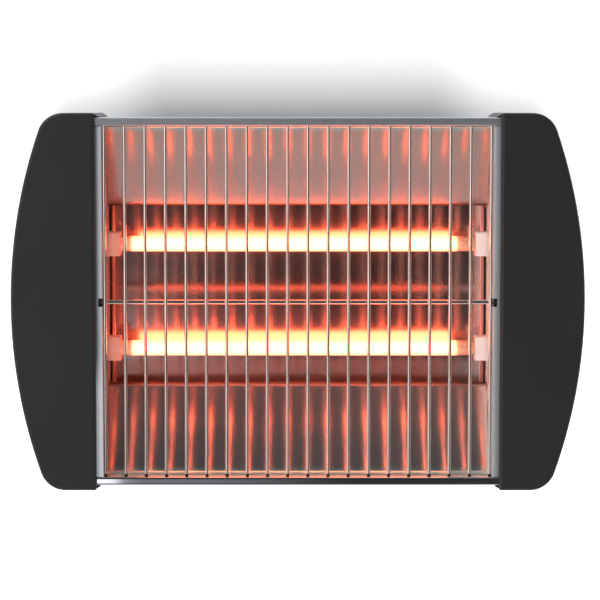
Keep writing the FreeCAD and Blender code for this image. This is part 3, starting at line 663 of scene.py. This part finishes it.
def coil_tree():
    """A wire wound along X, with a straight tail on the axis at each end."""
    sizes = ("Wound Length", "Coil Radius", "Wire Radius", "Turns", "Tail End")
    inputs = {**dict.fromkeys(sizes, "NodeSocketFloat"), "Centre": "NodeSocketVector"}
    tree, given = open_geometry_tree("wound_coil", inputs)
    radius = given["Coil Radius"]
    half = given["Wound Length"] * 0.5
    upright = tree.node("GeometryNodeCurveSpiral", {}, {
        "Resolution": STEPS_IN_A_TURN,
        "Rotations": given["Turns"],
        "Start Radius": radius,
        "End Radius": radius,
        "Height": given["Wound Length"],
    })
    wound = tree.node("GeometryNodeTransform", {}, {
        "Geometry": upright,
        "Rotation": (0.0, math.pi / 2, 0.0),
        "Translation": tree.vector(X=half * -1),
    })
    curves = [wound]
    for side in (-1, 1):
        tip = tree.vector(X=given["Tail End"] * side)
        root = tree.vector(X=half * side)
        winding = tree.vector(X=half * side, Z=radius * -1)
        for start, end in ((tip, root), (root, winding)):
            curves.append(tree.node("GeometryNodeCurvePrimitiveLine", {}, {"Start": start, "End": end}))
    joined = tree.node("GeometryNodeJoinGeometry")
    for curve in curves:
        tree.tree.links.new(curve.socket, joined.node.inputs[0])
    section = {"Resolution": SIDES_OF_A_WIRE, "Radius": given["Wire Radius"]}
    circle = tree.node("GeometryNodeCurvePrimitiveCircle", {}, section)
    skin = {"Curve": joined, "Profile Curve": circle, "Fill Caps": True}
    wire = tree.node("GeometryNodeCurveToMesh", {}, skin)
    placed = tree.node("GeometryNodeTransform", {}, {"Geometry": wire, "Translation": given["Centre"]})
    return close_geometry_tree(tree, placed, given["Finish"])


def copies_tree():
    """A prototype piece at each point of the source mesh, each turned about Z by a random share of Turn."""
    inputs = {"Prototype": "NodeSocketObject", "Turn": "NodeSocketFloat"}
    tree, given = open_geometry_tree("copies", inputs)
    shape = tree.node("GeometryNodeObjectInfo", {}, {"Object": given["Prototype"]}, "Geometry")
    share = tree.node("FunctionNodeRandomValue", {"data_type": "FLOAT"}, {"Seed": 7}, 1)
    turned = tree.vector(Z=share * given["Turn"])
    placing = {"Points": given["Geometry"], "Instance": shape, "Rotation": turned}
    placed = tree.node("GeometryNodeInstanceOnPoints", {}, placing)
    return close_geometry_tree(tree, placed, given["Finish"])


def copies(name, maker, points, material, turn=0.0):
    """One object with a copy of the made piece at each point, turned at random by up to the given angle."""
    prototype = solid_from(f"{name}_prototype", maker, material)
    places = bpy.data.meshes.new(f"{name}_points")
    places.from_pydata([tuple(point) for point in points], [], [])
    tree = bpy.data.node_groups.get("copies") or copies_tree()
    piece = tree_piece(name, places, tree, {"Prototype": prototype, "Turn": turn}, material)
    bpy.data.objects.remove(prototype)
    return piece


# Sizes and colours that a user can change


class StageSettings(bpy.types.PropertyGroup):
    """Camera, lights and floor."""

    picture_width: FloatProperty(
        name="Picture width", description="Width of the picture at the grill", default=0.390, unit="LENGTH")
    camera_distance: FloatProperty(
        name="Camera distance", description="From the grill to the camera", default=1.5, unit="LENGTH")
    camera_tilt: FloatProperty(
        name="Camera tilt", description="How far the camera stands behind the upright",
        default=math.radians(4.7), subtype="ANGLE")
    offset_right: FloatProperty(
        name="Offset right", description="Pixels from the object's middle to the picture's", default=2.25)
    offset_up: FloatProperty(
        name="Offset up", description="Pixels from the object's middle up to the picture's", default=2.7)
    soft_power: FloatProperty(
        name="Soft light", description="Power of the large light overhead that no surface mirrors",
        default=88.0, unit="POWER")
    top_level: FloatProperty(
        name="Top level", description="Brightness of the studio overhead", default=0.015)
    wall_level: FloatProperty(
        name="Wall level", description="Brightness of the studio's walls", default=0.78)
    card_level: FloatProperty(
        name="Card level", description="Brightness of the white card above the left end", default=1.5)
    window_level: FloatProperty(
        name="Window level", description="Brightness of the window high on the left", default=2.6)
    floor_colour: FloatVectorProperty(
        name="Floor", description="Colour of the floor", default=(0.88, 0.88, 0.89), subtype="COLOR")
    floor_glow: FloatProperty(
        name="Floor glow", description="Whiteness that the floor keeps in the shadow", default=0.21)
    side_glow: FloatProperty(
        name="Side glow", description="Further whiteness beside the body", default=0.50)


class GlowSettings(bpy.types.PropertyGroup):
    """The lit tubes."""

    coil_colour: FloatVectorProperty(
        name="Coil glow", description="Colour of the glowing wire",
        default=(1.0, 0.19, 0.07), subtype="COLOR")
    coil_strength: FloatProperty(
        name="Coil strength", description="Brightness of the glowing wire", default=18.0)
    tube_colour: FloatVectorProperty(
        name="Tube glow", description="Colour of the quartz around it", default=(1.0, 0.165, 0.07),
        subtype="COLOR")
    tube_strength: FloatProperty(
        name="Tube strength", description="Brightness of the quartz", default=8.0)
    fade: FloatProperty(
        name="Fade", description="Length over which the glow ends", default=0.004, unit="LENGTH")
    cold_end: FloatProperty(
        name="Cold end", description="Wound length that stays dark at each end",
        default=0.0006, unit="LENGTH")
    shift: FloatProperty(
        name="Shift", description="How far the glow lies left of the middle", default=0.0024, unit="LENGTH")
    turns: FloatProperty(
        name="Turns", description="Turns of wire in each tube", default=96.0)
    wire_radius: FloatProperty(
        name="Wire radius", description="Half the thickness of the wound wire",
        default=0.00040, unit="LENGTH")


class ColourSettings(bpy.types.PropertyGroup):
    """Colours of the finishes."""

    plastic: FloatVectorProperty(
        name="Plastic", description="End caps and covers", default=(0.017, 0.017, 0.0185), subtype="COLOR")
    steel: FloatVectorProperty(
        name="Steel", description="Panels and side walls", default=(0.55, 0.57, 0.61), subtype="COLOR")
    warm_steel: FloatVectorProperty(
        name="Warm steel", description="Steel that faces the tubes",
        default=(0.66, 0.90, 0.88), subtype="COLOR")
    # Painted shade of the left side wall inside
    shaded_wall_steel: FloatVectorProperty(
        name="Blued steel", description="Left side wall inside",
        default=(0.40, 0.38, 0.46), subtype="COLOR")
    # Painted highlight on the left strip near the front
    highlight_steel: FloatVectorProperty(
        name="Worn steel", description="Left strip near the front",
        default=(0.90, 0.92, 0.97), subtype="COLOR")
    # Painted shade along the caps
    dust_and_shade: FloatVectorProperty(
        name="Dust", description="Dust along the caps", default=(0.05, 0.05, 0.055), subtype="COLOR")
    front_reflector: FloatVectorProperty(
        name="Front reflector", description="Polished sheet in front of the tubes",
        default=(0.80, 0.72, 0.70), subtype="COLOR")
    # Pinker than the front reflector: painted red glow of the tubes
    rear_reflector: FloatVectorProperty(
        name="Rear reflector", description="Polished sheet behind the tubes",
        default=(0.85, 0.64, 0.56), subtype="COLOR")
    # Partly heat tint and partly painted glow of the tubes
    heat_tint_and_glow: FloatVectorProperty(
        name="Heat tint", description="Tint of the sheet near the tubes",
        default=(0.78, 0.62, 0.60), subtype="COLOR")
    # Darker along the reflectors' lower edge
    dark_hem: FloatVectorProperty(
        name="Scorched hem", description="Lower edge of the sheet",
        default=(0.10, 0.06, 0.055), subtype="COLOR")
    wire: FloatVectorProperty(
        name="Wire", description="Plated grill wire", default=(0.82, 0.75, 0.71), subtype="COLOR")
    straw: FloatVectorProperty(
        name="Straw", description="Grill wire over the tubes", default=(0.62, 0.50, 0.40), subtype="COLOR")
    # Painted shade of the wires' front ends in the lip
    lip_end_shade: FloatVectorProperty(
        name="Soot", description="Front ends of the wires", default=(0.05, 0.04, 0.035), subtype="COLOR")
    # Orange-red: painted glow of the tubes on a bright steel tray
    tray: FloatVectorProperty(
        name="Tray", description="Crumb tray", default=(0.84, 0.51, 0.44), subtype="COLOR")
    ceramic: FloatVectorProperty(
        name="Ceramic", description="Right tube holders", default=(0.60, 0.47, 0.44), subtype="COLOR")
    # Painted shade of the left tube holders
    shaded_ceramic: FloatVectorProperty(
        name="Fired ceramic", description="Left tube holders, stained by heat",
        default=(0.50, 0.19, 0.14), subtype="COLOR")


# Operators


class TOASTER_OT_stage(bpy.types.Operator):
    """Sets up the floor, the lights and the camera above the grill"""

    bl_idname = "toaster.stage"
    bl_label = "Stage"

    def execute(self, context):
        stage = context.scene.toaster_stage
        self.add_camera(context, stage)
        self.add_floor(stage)
        self.add_world(context, stage)
        self.add_soft_light(stage)
        context.scene.view_settings.view_transform = "Standard"
        return {"FINISHED"}

    def add_camera(self, context, stage):
        """Camera above the grill, whose picture has the given width there."""
        data = bpy.data.cameras.new("camera")
        data.lens = data.sensor_width * stage.camera_distance / stage.picture_width
        data.clip_end = 20.0
        pixel = stage.picture_width / PICTURE_PIXELS
        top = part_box("front_panel")[1][2]
        target = Vector((stage.offset_right * pixel, stage.offset_up * pixel, top))
        back = Vector((0.0, math.sin(stage.camera_tilt), math.cos(stage.camera_tilt)))
        camera = add_object("camera", data)
        camera.location = target + back * stage.camera_distance
        camera.rotation_euler = (-stage.camera_tilt, 0.0, 0.0)
        context.scene.camera = camera

    def add_floor(self, stage):
        """White floor with a soft shadow, which glows where it is seen but lights nothing."""
        finish = Finish("studio_floor")
        paint = finish.shaded(finish.grain(2.0), stage.floor_colour, 0.985)
        matt = finish.node("ShaderNodeBsdfDiffuse", {}, {"Color": paint})
        ray = finish.node("ShaderNodeLightPath", {}, {}, "Is Camera Ray")
        seen = ray.most(ray.out("Is Glossy Ray")).most(ray.out("Is Transmission Ray"))
        along_x, along_y, _ = finish.place.parts()
        body_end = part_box("right_side_wall")[1][0]
        beside = abs(along_x).ease(body_end * 0.60, body_end * 1.10)
        far = (along_x * along_x + along_y * along_y).ease(0.30, 1.20)
        glow = stage.floor_glow + beside * stage.side_glow + far * 0.9
        light = finish.node("ShaderNodeEmission", {}, {"Color": (1.0, 1.0, 1.0), "Strength": seen * glow})
        both = finish.node("ShaderNodeAddShader", {}, {0: matt, 1: light})
        finish.node("ShaderNodeOutputMaterial", {}, {"Surface": both})
        mesh = bpy.data.meshes.new("floor")
        corners = ((-1, -1), (1, -1), (1, 1), (-1, 1))
        mesh.from_pydata([(x * FLOOR_REACH, y * FLOOR_REACH, 0.0) for x, y in corners], [], [(0, 1, 2, 3)])
        mesh.materials.append(finish.material)
        add_object("floor", mesh)

    def add_world(self, context, stage):
        """White backdrop, and a studio with walls, a white card and a window for the metal to mirror."""
        world = bpy.data.worlds.new("studio")
        world.use_nodes = True
        context.scene.world = world
        tree = Tree(world.node_tree)
        tree.tree.nodes.clear()
        aside, ahead, up = tree.node("ShaderNodeTexCoord", {}, {}, "Generated").parts()
        ray = tree.node("ShaderNodeLightPath", {}, {}, "Is Camera Ray")

        # The walls fade overhead, on the right and towards the rear
        left = aside.ease(0.50, 0.08)
        dim_rear = 1.0 - ahead.ease(0.15, 0.55) * (0.35 + aside.ease(0.10, -0.10) * 0.35)
        walls = stage.top_level + up.ease(0.95, 0.25) * (0.35 + left * 0.65) * dim_rear * stage.wall_level

        # The card is a band on a plane overhead that brightens in steps towards the left
        slope = aside / up
        band = abs(ahead / up + 0.170).ease(0.075, 0.050)
        card = slope.ease(0.030, -0.055) * 0.160 + slope.ease(-0.066, -0.080) * 0.094 + 0.024
        card = card + slope.ease(-0.0765, -0.083) * slope.ease(-0.125, -0.105)

        window = aside.ease(-0.28, -0.34) * aside.ease(-0.64, -0.56) * ahead.ease(-0.16, -0.06)
        mirrored = (card * band * stage.card_level + window * stage.window_level) * ray.out("Is Glossy Ray")
        room = tree.grey(walls + mirrored)
        backdrop = ray.most(ray.out("Is Transmission Ray"))
        colour = tree.blend(backdrop, room, (1.0, 1.0, 1.0))
        background = tree.node("ShaderNodeBackground", {}, {"Color": colour})
        tree.node("ShaderNodeOutputWorld", {}, {"Surface": background})

    def add_soft_light(self, stage):
        """Large light overhead, aimed at the middle of the object, that no surface mirrors."""
        data = bpy.data.lights.new("soft", "AREA")
        data.shape = "RECTANGLE"
        data.size = 1.0
        data.size_y = 1.5
        data.energy = stage.soft_power
        light = add_object("soft", data)
        light.location = (-0.05, -0.70, 3.0)
        light.rotation_euler = light.location.to_track_quat("Z", "Y").to_euler()
        light.visible_glossy = False


class TOASTER_OT_end_caps(bpy.types.Operator):
    """Finishes the moulded end caps and their base covers"""

    bl_idname = "toaster.end_caps"
    bl_label = "End caps"

    def execute(self, context):
        plastic = black_plastic(context.scene.toaster_colours)
        dress(plastic, "left_end_cap", "right_end_cap", "left_base_cover", "right_base_cover")
        return {"FINISHED"}


class TOASTER_OT_body(bpy.types.Operator):
    """Finishes the folded sheet steel of the body"""

    bl_idname = "toaster.body"
    bl_label = "Sheet steel body"

    def execute(self, context):
        colours = context.scene.toaster_colours
        dress(panel_steel("polished_front_panel", colours, 0.03, 1.0), "front_panel")
        dress(panel_steel("satin_rear_panel", colours, 0.36, 0.88), "rear_panel")
        dress(side_wall_steel(colours), "left_side_wall", "right_side_wall")
        return {"FINISHED"}


class TOASTER_OT_reflectors(bpy.types.Operator):
    """Finishes the sloped reflectors"""

    bl_idname = "toaster.reflectors"
    bl_label = "Reflectors"

    def execute(self, context):
        dress(reflector_sheet(context.scene.toaster_colours), "front_reflector", "rear_reflector")
        return {"FINISHED"}


class TOASTER_OT_grill(bpy.types.Operator):
    """Finishes the grill and adds the weld beads where each wire crosses the rod"""

    bl_idname = "toaster.grill"
    bl_label = "Wire grill"

    def execute(self, context):
        wire = chrome_wire(context.scene.toaster_colours)
        dress(wire, "grill_wires", "cross_rod")
        rod_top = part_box("cross_rod")[1][2]
        points = [((low.x + high.x) / 2, 0.0, rod_top) for low, high in islands("grill_wires")]
        beads = copies("weld_beads", self.bead, points, wire)
        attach(beads, BODY)
        return {"FINISHED"}

    def bead(self, shape):
        """Flattened lump of weld metal in the angle between wire and rod."""
        bmesh.ops.create_icosphere(shape, subdivisions=2, radius=BEAD_RADIUS)
        bmesh.ops.scale(shape, vec=(1.15, 1.0, 0.42), verts=shape.verts)


class TOASTER_OT_heating(bpy.types.Operator):
    """Winds the heating coils and finishes the tubes, their holders and terminals"""

    bl_idname = "toaster.heating"
    bl_label = "Heating tubes"

    def execute(self, context):
        glow = context.scene.toaster_glow
        half = self.wound_half_length()
        wire = hot_wire(glow, half)
        tree = coil_tree()
        for end in ENDS:
            node = f"{end}_heating_coil"
            low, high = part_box(node)
            values = {
                "Wound Length": half * 2,
                "Coil Radius": (high[2] - low[2]) / 2 - glow.wire_radius,
                "Wire Radius": glow.wire_radius,
                "Turns": glow.turns,
                "Tail End": high[0],
                "Centre": tuple(centre(node)),
            }
            coil = tree_piece(f"{end}_wound_coil", bpy.data.meshes.new(node), tree, values, wire)
            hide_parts(node)
            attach(coil, BODY)
        holders = [f"{end}_{side}_holder" for end in ENDS for side in SIDES]
        dress(quartz(glow, half), "front_quartz_tube", "rear_quartz_tube")
        dress(ceramic(context.scene.toaster_colours), *holders)
        dress(rolled_steel("spring_steel", SPRING_STEEL, 0.30), "holder_clips")
        dress(rolled_steel("nickel_brass", (0.62, 0.54, 0.36), 0.22), "element_terminals", "pole_screws")
        return {"FINISHED"}

    def wound_half_length(self):
        """Half the wound length, which is where the CAD rod is thick."""
        low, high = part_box("front_heating_coil")
        thick = (high[2] - low[2]) / 2
        axis = centre("front_heating_coil").z
        points = [vertex.co for vertex in NODES["front_heating_coil"].data.vertices]
        return max(abs(point.x) for point in points if abs(point.z - axis) > thick * 0.9)


class TOASTER_OT_tray(bpy.types.Operator):
    """Finishes the crumb tray, its rails and the base plate"""

    bl_idname = "toaster.tray"
    bl_label = "Crumb tray"

    def execute(self, context):
        rail_steel = rolled_steel("tray_rail_steel", SPRING_STEEL, 0.30, (1.0, 0.05, 1.0))
        dress(tray_sheet(context.scene.toaster_colours), "crumb_tray")
        dress(rail_steel, "left_tray_rail", "right_tray_rail")
        dress(galvanised(), "base_plate")
        return {"FINISHED"}


class TOASTER_OT_feet(bpy.types.Operator):
    """Replaces the plain feet with grooved rubber ones that have a hollow sole"""

    bl_idname = "toaster.feet"
    bl_label = "Feet"

    def execute(self, context):
        finish = rubber()
        for node in [f"{end}_{side}_foot" for end in ENDS for side in SIDES]:
            foot = solid_from(f"{node}_grooved", partial(self.turn_foot, node), finish)
            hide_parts(node)
            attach(foot, BODY)
        return {"FINISHED"}

    def turn_foot(self, node, shape):
        """Foot with a hollow sole, two grooves and the barb that holds it in the cover."""
        low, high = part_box(node)
        cover_low, cover_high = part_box("left_base_cover")
        shoulder = cover_low[2]
        seat = cover_high[2]
        wide = (high[0] - low[0]) / 2
        sole = wide - 0.0015
        stem = wide * 0.44
        barb = 0.0009
        hollow = 0.0016
        profile = [(0.0, hollow), (sole * 0.42, hollow), (sole * 0.52, 0.0002), (sole * 0.58, 0.0)]
        profile += [(sole - 0.0006, 0.0), (sole, 0.0005)]
        for share in (0.34, 0.68):
            edge = sole + (wide - sole) * share
            bottom = edge - GROOVE
            middle = shoulder * share
            profile += [(edge, middle - GROOVE), (bottom, middle - GROOVE / 2)]
            profile += [(bottom, middle + GROOVE / 2), (edge, middle + GROOVE)]
        profile += [(wide, shoulder - 0.0004), (wide - 0.0004, shoulder), (stem, shoulder)]
        profile += [(stem, seat + 0.0002), (stem + barb, seat + 0.0003)]
        profile += [(stem - barb, high[2] - 0.0002), (0.0, high[2])]
        revolve(shape, profile, 48)
        place = centre(node)
        bmesh.ops.translate(shape, vec=(place.x, place.y, 0.0), verts=shape.verts)


class TOASTER_OT_screws(bpy.types.Operator):
    """Cuts the cross recess and the thread of the screws that are driven from below"""

    bl_idname = "toaster.screws"
    bl_label = "Screws"

    def execute(self, context):
        finish = zinc()
        dress(finish, "earth_screw")
        for node in ("cap_screws", "base_cover_screws", "base_plate_screws"):
            boxes = islands(node)
            low, high = boxes[0]
            points = [((low.x + high.x) / 2, (low.y + high.y) / 2, low.z) for low, high in boxes]
            maker = partial(self.turn_screw, (high.x - low.x) / 2, high.z - low.z)
            screws = copies(f"cross_recessed_{node}", maker, points, finish, math.pi / 2)
            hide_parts(node)
            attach(screws, BODY)
        return {"FINISHED"}

    def turn_screw(self, head, length, shape):
        """Pan head with a cross recess, facing down, on a threaded shank; head is its radius."""
        neck = head * 0.5625
        crest = head * 0.4375
        root = crest * 0.80
        profile = [(head * 0.66, 0.0), (head * 0.88, head * 0.09), (head, head * 0.26)]
        profile += [(head, neck), (root, neck)]
        for turn in range(int((length - neck) / THREAD_PITCH)):
            start = neck + turn * THREAD_PITCH
            profile += [(root, start + THREAD_PITCH * 0.4), (crest, start + THREAD_PITCH * 0.7)]
            profile += [(root, start + THREAD_PITCH)]
        profile += [(crest * 0.4, length), (0.0, length)]
        revolve(shape, profile, 32)
        self.cut_recess(head, shape)

    def cut_recess(self, head, shape):
        """Closes the open middle of a head with a cross-shaped recess."""
        rim = [edge for edge in shape.edges if edge.is_boundary]
        arm = head * 0.13
        reach = head * 0.50
        quarter = [Vector(corner) for corner in ((arm, arm, 0.0), (arm, reach, 0.0), (-arm, reach, 0.0))]
        turns = [Matrix.Rotation(turn * math.pi / 2, 3, "Z") for turn in range(4)]
        cross = [turn @ corner for turn in turns for corner in quarter]
        top = [shape.verts.new(point) for point in cross]
        mouth = [shape.edges.new(pair) for pair in zip(top, top[1:] + top[:1])]
        bmesh.ops.triangle_fill(shape, use_beauty=True, edges=rim + mouth)
        floor = [shape.verts.new((point.x * 0.62, point.y * 0.62, head * 0.36)) for point in cross]
        for index in range(len(top)):
            after = (index + 1) % len(top)
            shape.faces.new((top[index], top[after], floor[after], floor[index]))
        shape.faces.new(floor)


class TOASTER_OT_switch(bpy.types.Operator):
    """Finishes the rocker switch, the pilot lamp and the cord gland"""

    bl_idname = "toaster.switch"
    bl_label = "Switch and lamp"

    def execute(self, context):
        black = gloss_plastic("gloss_black_plastic", (0.012, 0.012, 0.013))
        white = gloss_plastic("white_mark", (0.72, 0.72, 0.70))
        dress(black, "switch_body", "switch_rocker", "cord_gland")
        dress(lamp_lens(), "pilot_lamp")
        marks = solid_from("rocker_marks", self.raise_marks, white)
        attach(marks, "rocker")
        return {"FINISHED"}

    def raise_marks(self, shape):
        """A line above and a ring below the rocker's middle, which stand for on and off."""
        bmesh.ops.create_cube(shape, size=1.0)
        bmesh.ops.scale(shape, vec=(0.0006, 0.0030, MARK_HEIGHT * 2), verts=shape.verts)
        bmesh.ops.bevel(shape, geom=list(shape.edges), offset=MARK_HEIGHT * 0.4, segments=2, affect="EDGES")
        line = list(shape.verts)
        self.lay_on_rocker(shape, line, MARK_RISE)
        section = []
        for step in range(13):
            angle = step * math.pi / 6
            section.append((0.0015 + MARK_HEIGHT * 1.6 * math.cos(angle), MARK_HEIGHT * math.sin(angle)))
        revolve(shape, section, 36)
        self.lay_on_rocker(shape, [vertex for vertex in shape.verts if vertex not in line], -MARK_RISE)

    def lay_on_rocker(self, shape, points, rise):
        """Moves a mark that was made flat about Z to the rocker's face, this far above its middle."""
        rocker = bmesh.new()
        rocker.from_mesh(NODES["switch_rocker"].data)
        middle = centre("switch_rocker")
        in_front = CAD_BOX[0][1] - 0.05
        start = Vector((middle.x, in_front, middle.z + rise))
        place, normal, _, _ = BVHTree.FromBMesh(rocker).ray_cast(start, Vector((0.0, 1.0, 0.0)))
        rocker.free()
        across = Vector((1.0, 0.0, 0.0))
        turned = Matrix((across, normal.cross(across), normal)).transposed().to_4x4()
        bmesh.ops.transform(shape, matrix=Matrix.Translation(place) @ turned, verts=points)


class TOASTER_OT_wiring(bpy.types.Operator):
    """Finishes the leads and the terminal block"""

    bl_idname = "toaster.wiring"
    bl_label = "Wiring"

    def execute(self, context):
        dress(sleeve("brown_sleeve", (0.20, 0.09, 0.04)), "element_link", "live_lead", "switched_lead")
        dress(sleeve("blue_sleeve", (0.05, 0.12, 0.40)), "neutral_lead")
        dress(sleeve("green_sleeve", (0.16, 0.38, 0.06)), "earth_lead")
        dress(gloss_plastic("glazed_block", (0.74, 0.73, 0.70)), "terminal_block")
        return {"FINISHED"}


class TOASTER_PT_panel(bpy.types.Panel):
    """Lists the toaster's operators and settings"""

    bl_label = "Toaster"
    bl_idname = "TOASTER_PT_panel"
    bl_space_type = "VIEW_3D"
    bl_region_type = "UI"
    bl_category = "Toaster"

    def draw(self, context):
        for operator in OPERATORS:
            self.layout.operator(operator.bl_idname)
        for label, group in SETTINGS.items():
            column = self.layout.column(heading=label)
            for name in group.__annotations__:
                column.prop(getattr(context.scene, label), name)


OPERATORS = (
    TOASTER_OT_stage,
    TOASTER_OT_end_caps,
    TOASTER_OT_body,
    TOASTER_OT_reflectors,
    TOASTER_OT_grill,
    TOASTER_OT_heating,
    TOASTER_OT_tray,
    TOASTER_OT_feet,
    TOASTER_OT_screws,
    TOASTER_OT_switch,
    TOASTER_OT_wiring,
)
SETTINGS = {"toaster_stage": StageSettings, "toaster_glow": GlowSettings, "toaster_colours": ColourSettings}


def register():
    """Registers the settings, the operators and the panel."""
    for label, group in SETTINGS.items():
        bpy.utils.register_class(group)
        setattr(bpy.types.Scene, label, PointerProperty(type=group))
    for operator in OPERATORS:
        bpy.utils.register_class(operator)
    bpy.utils.register_class(TOASTER_PT_panel)


def unregister():
    """Takes out what register put in."""
    bpy.utils.unregister_class(TOASTER_PT_panel)
    for operator in reversed(OPERATORS):
        bpy.utils.unregister_class(operator)
    for label, group in SETTINGS.items():
        delattr(bpy.types.Scene, label)
        bpy.utils.unregister_class(group)


def main():
    """Dresses the toaster piece by piece."""
    register()
    for operator in OPERATORS:
        group, name = operator.bl_idname.split(".")
        getattr(getattr(bpy.ops, group), name)()


if __name__ == "__main__":
    main()
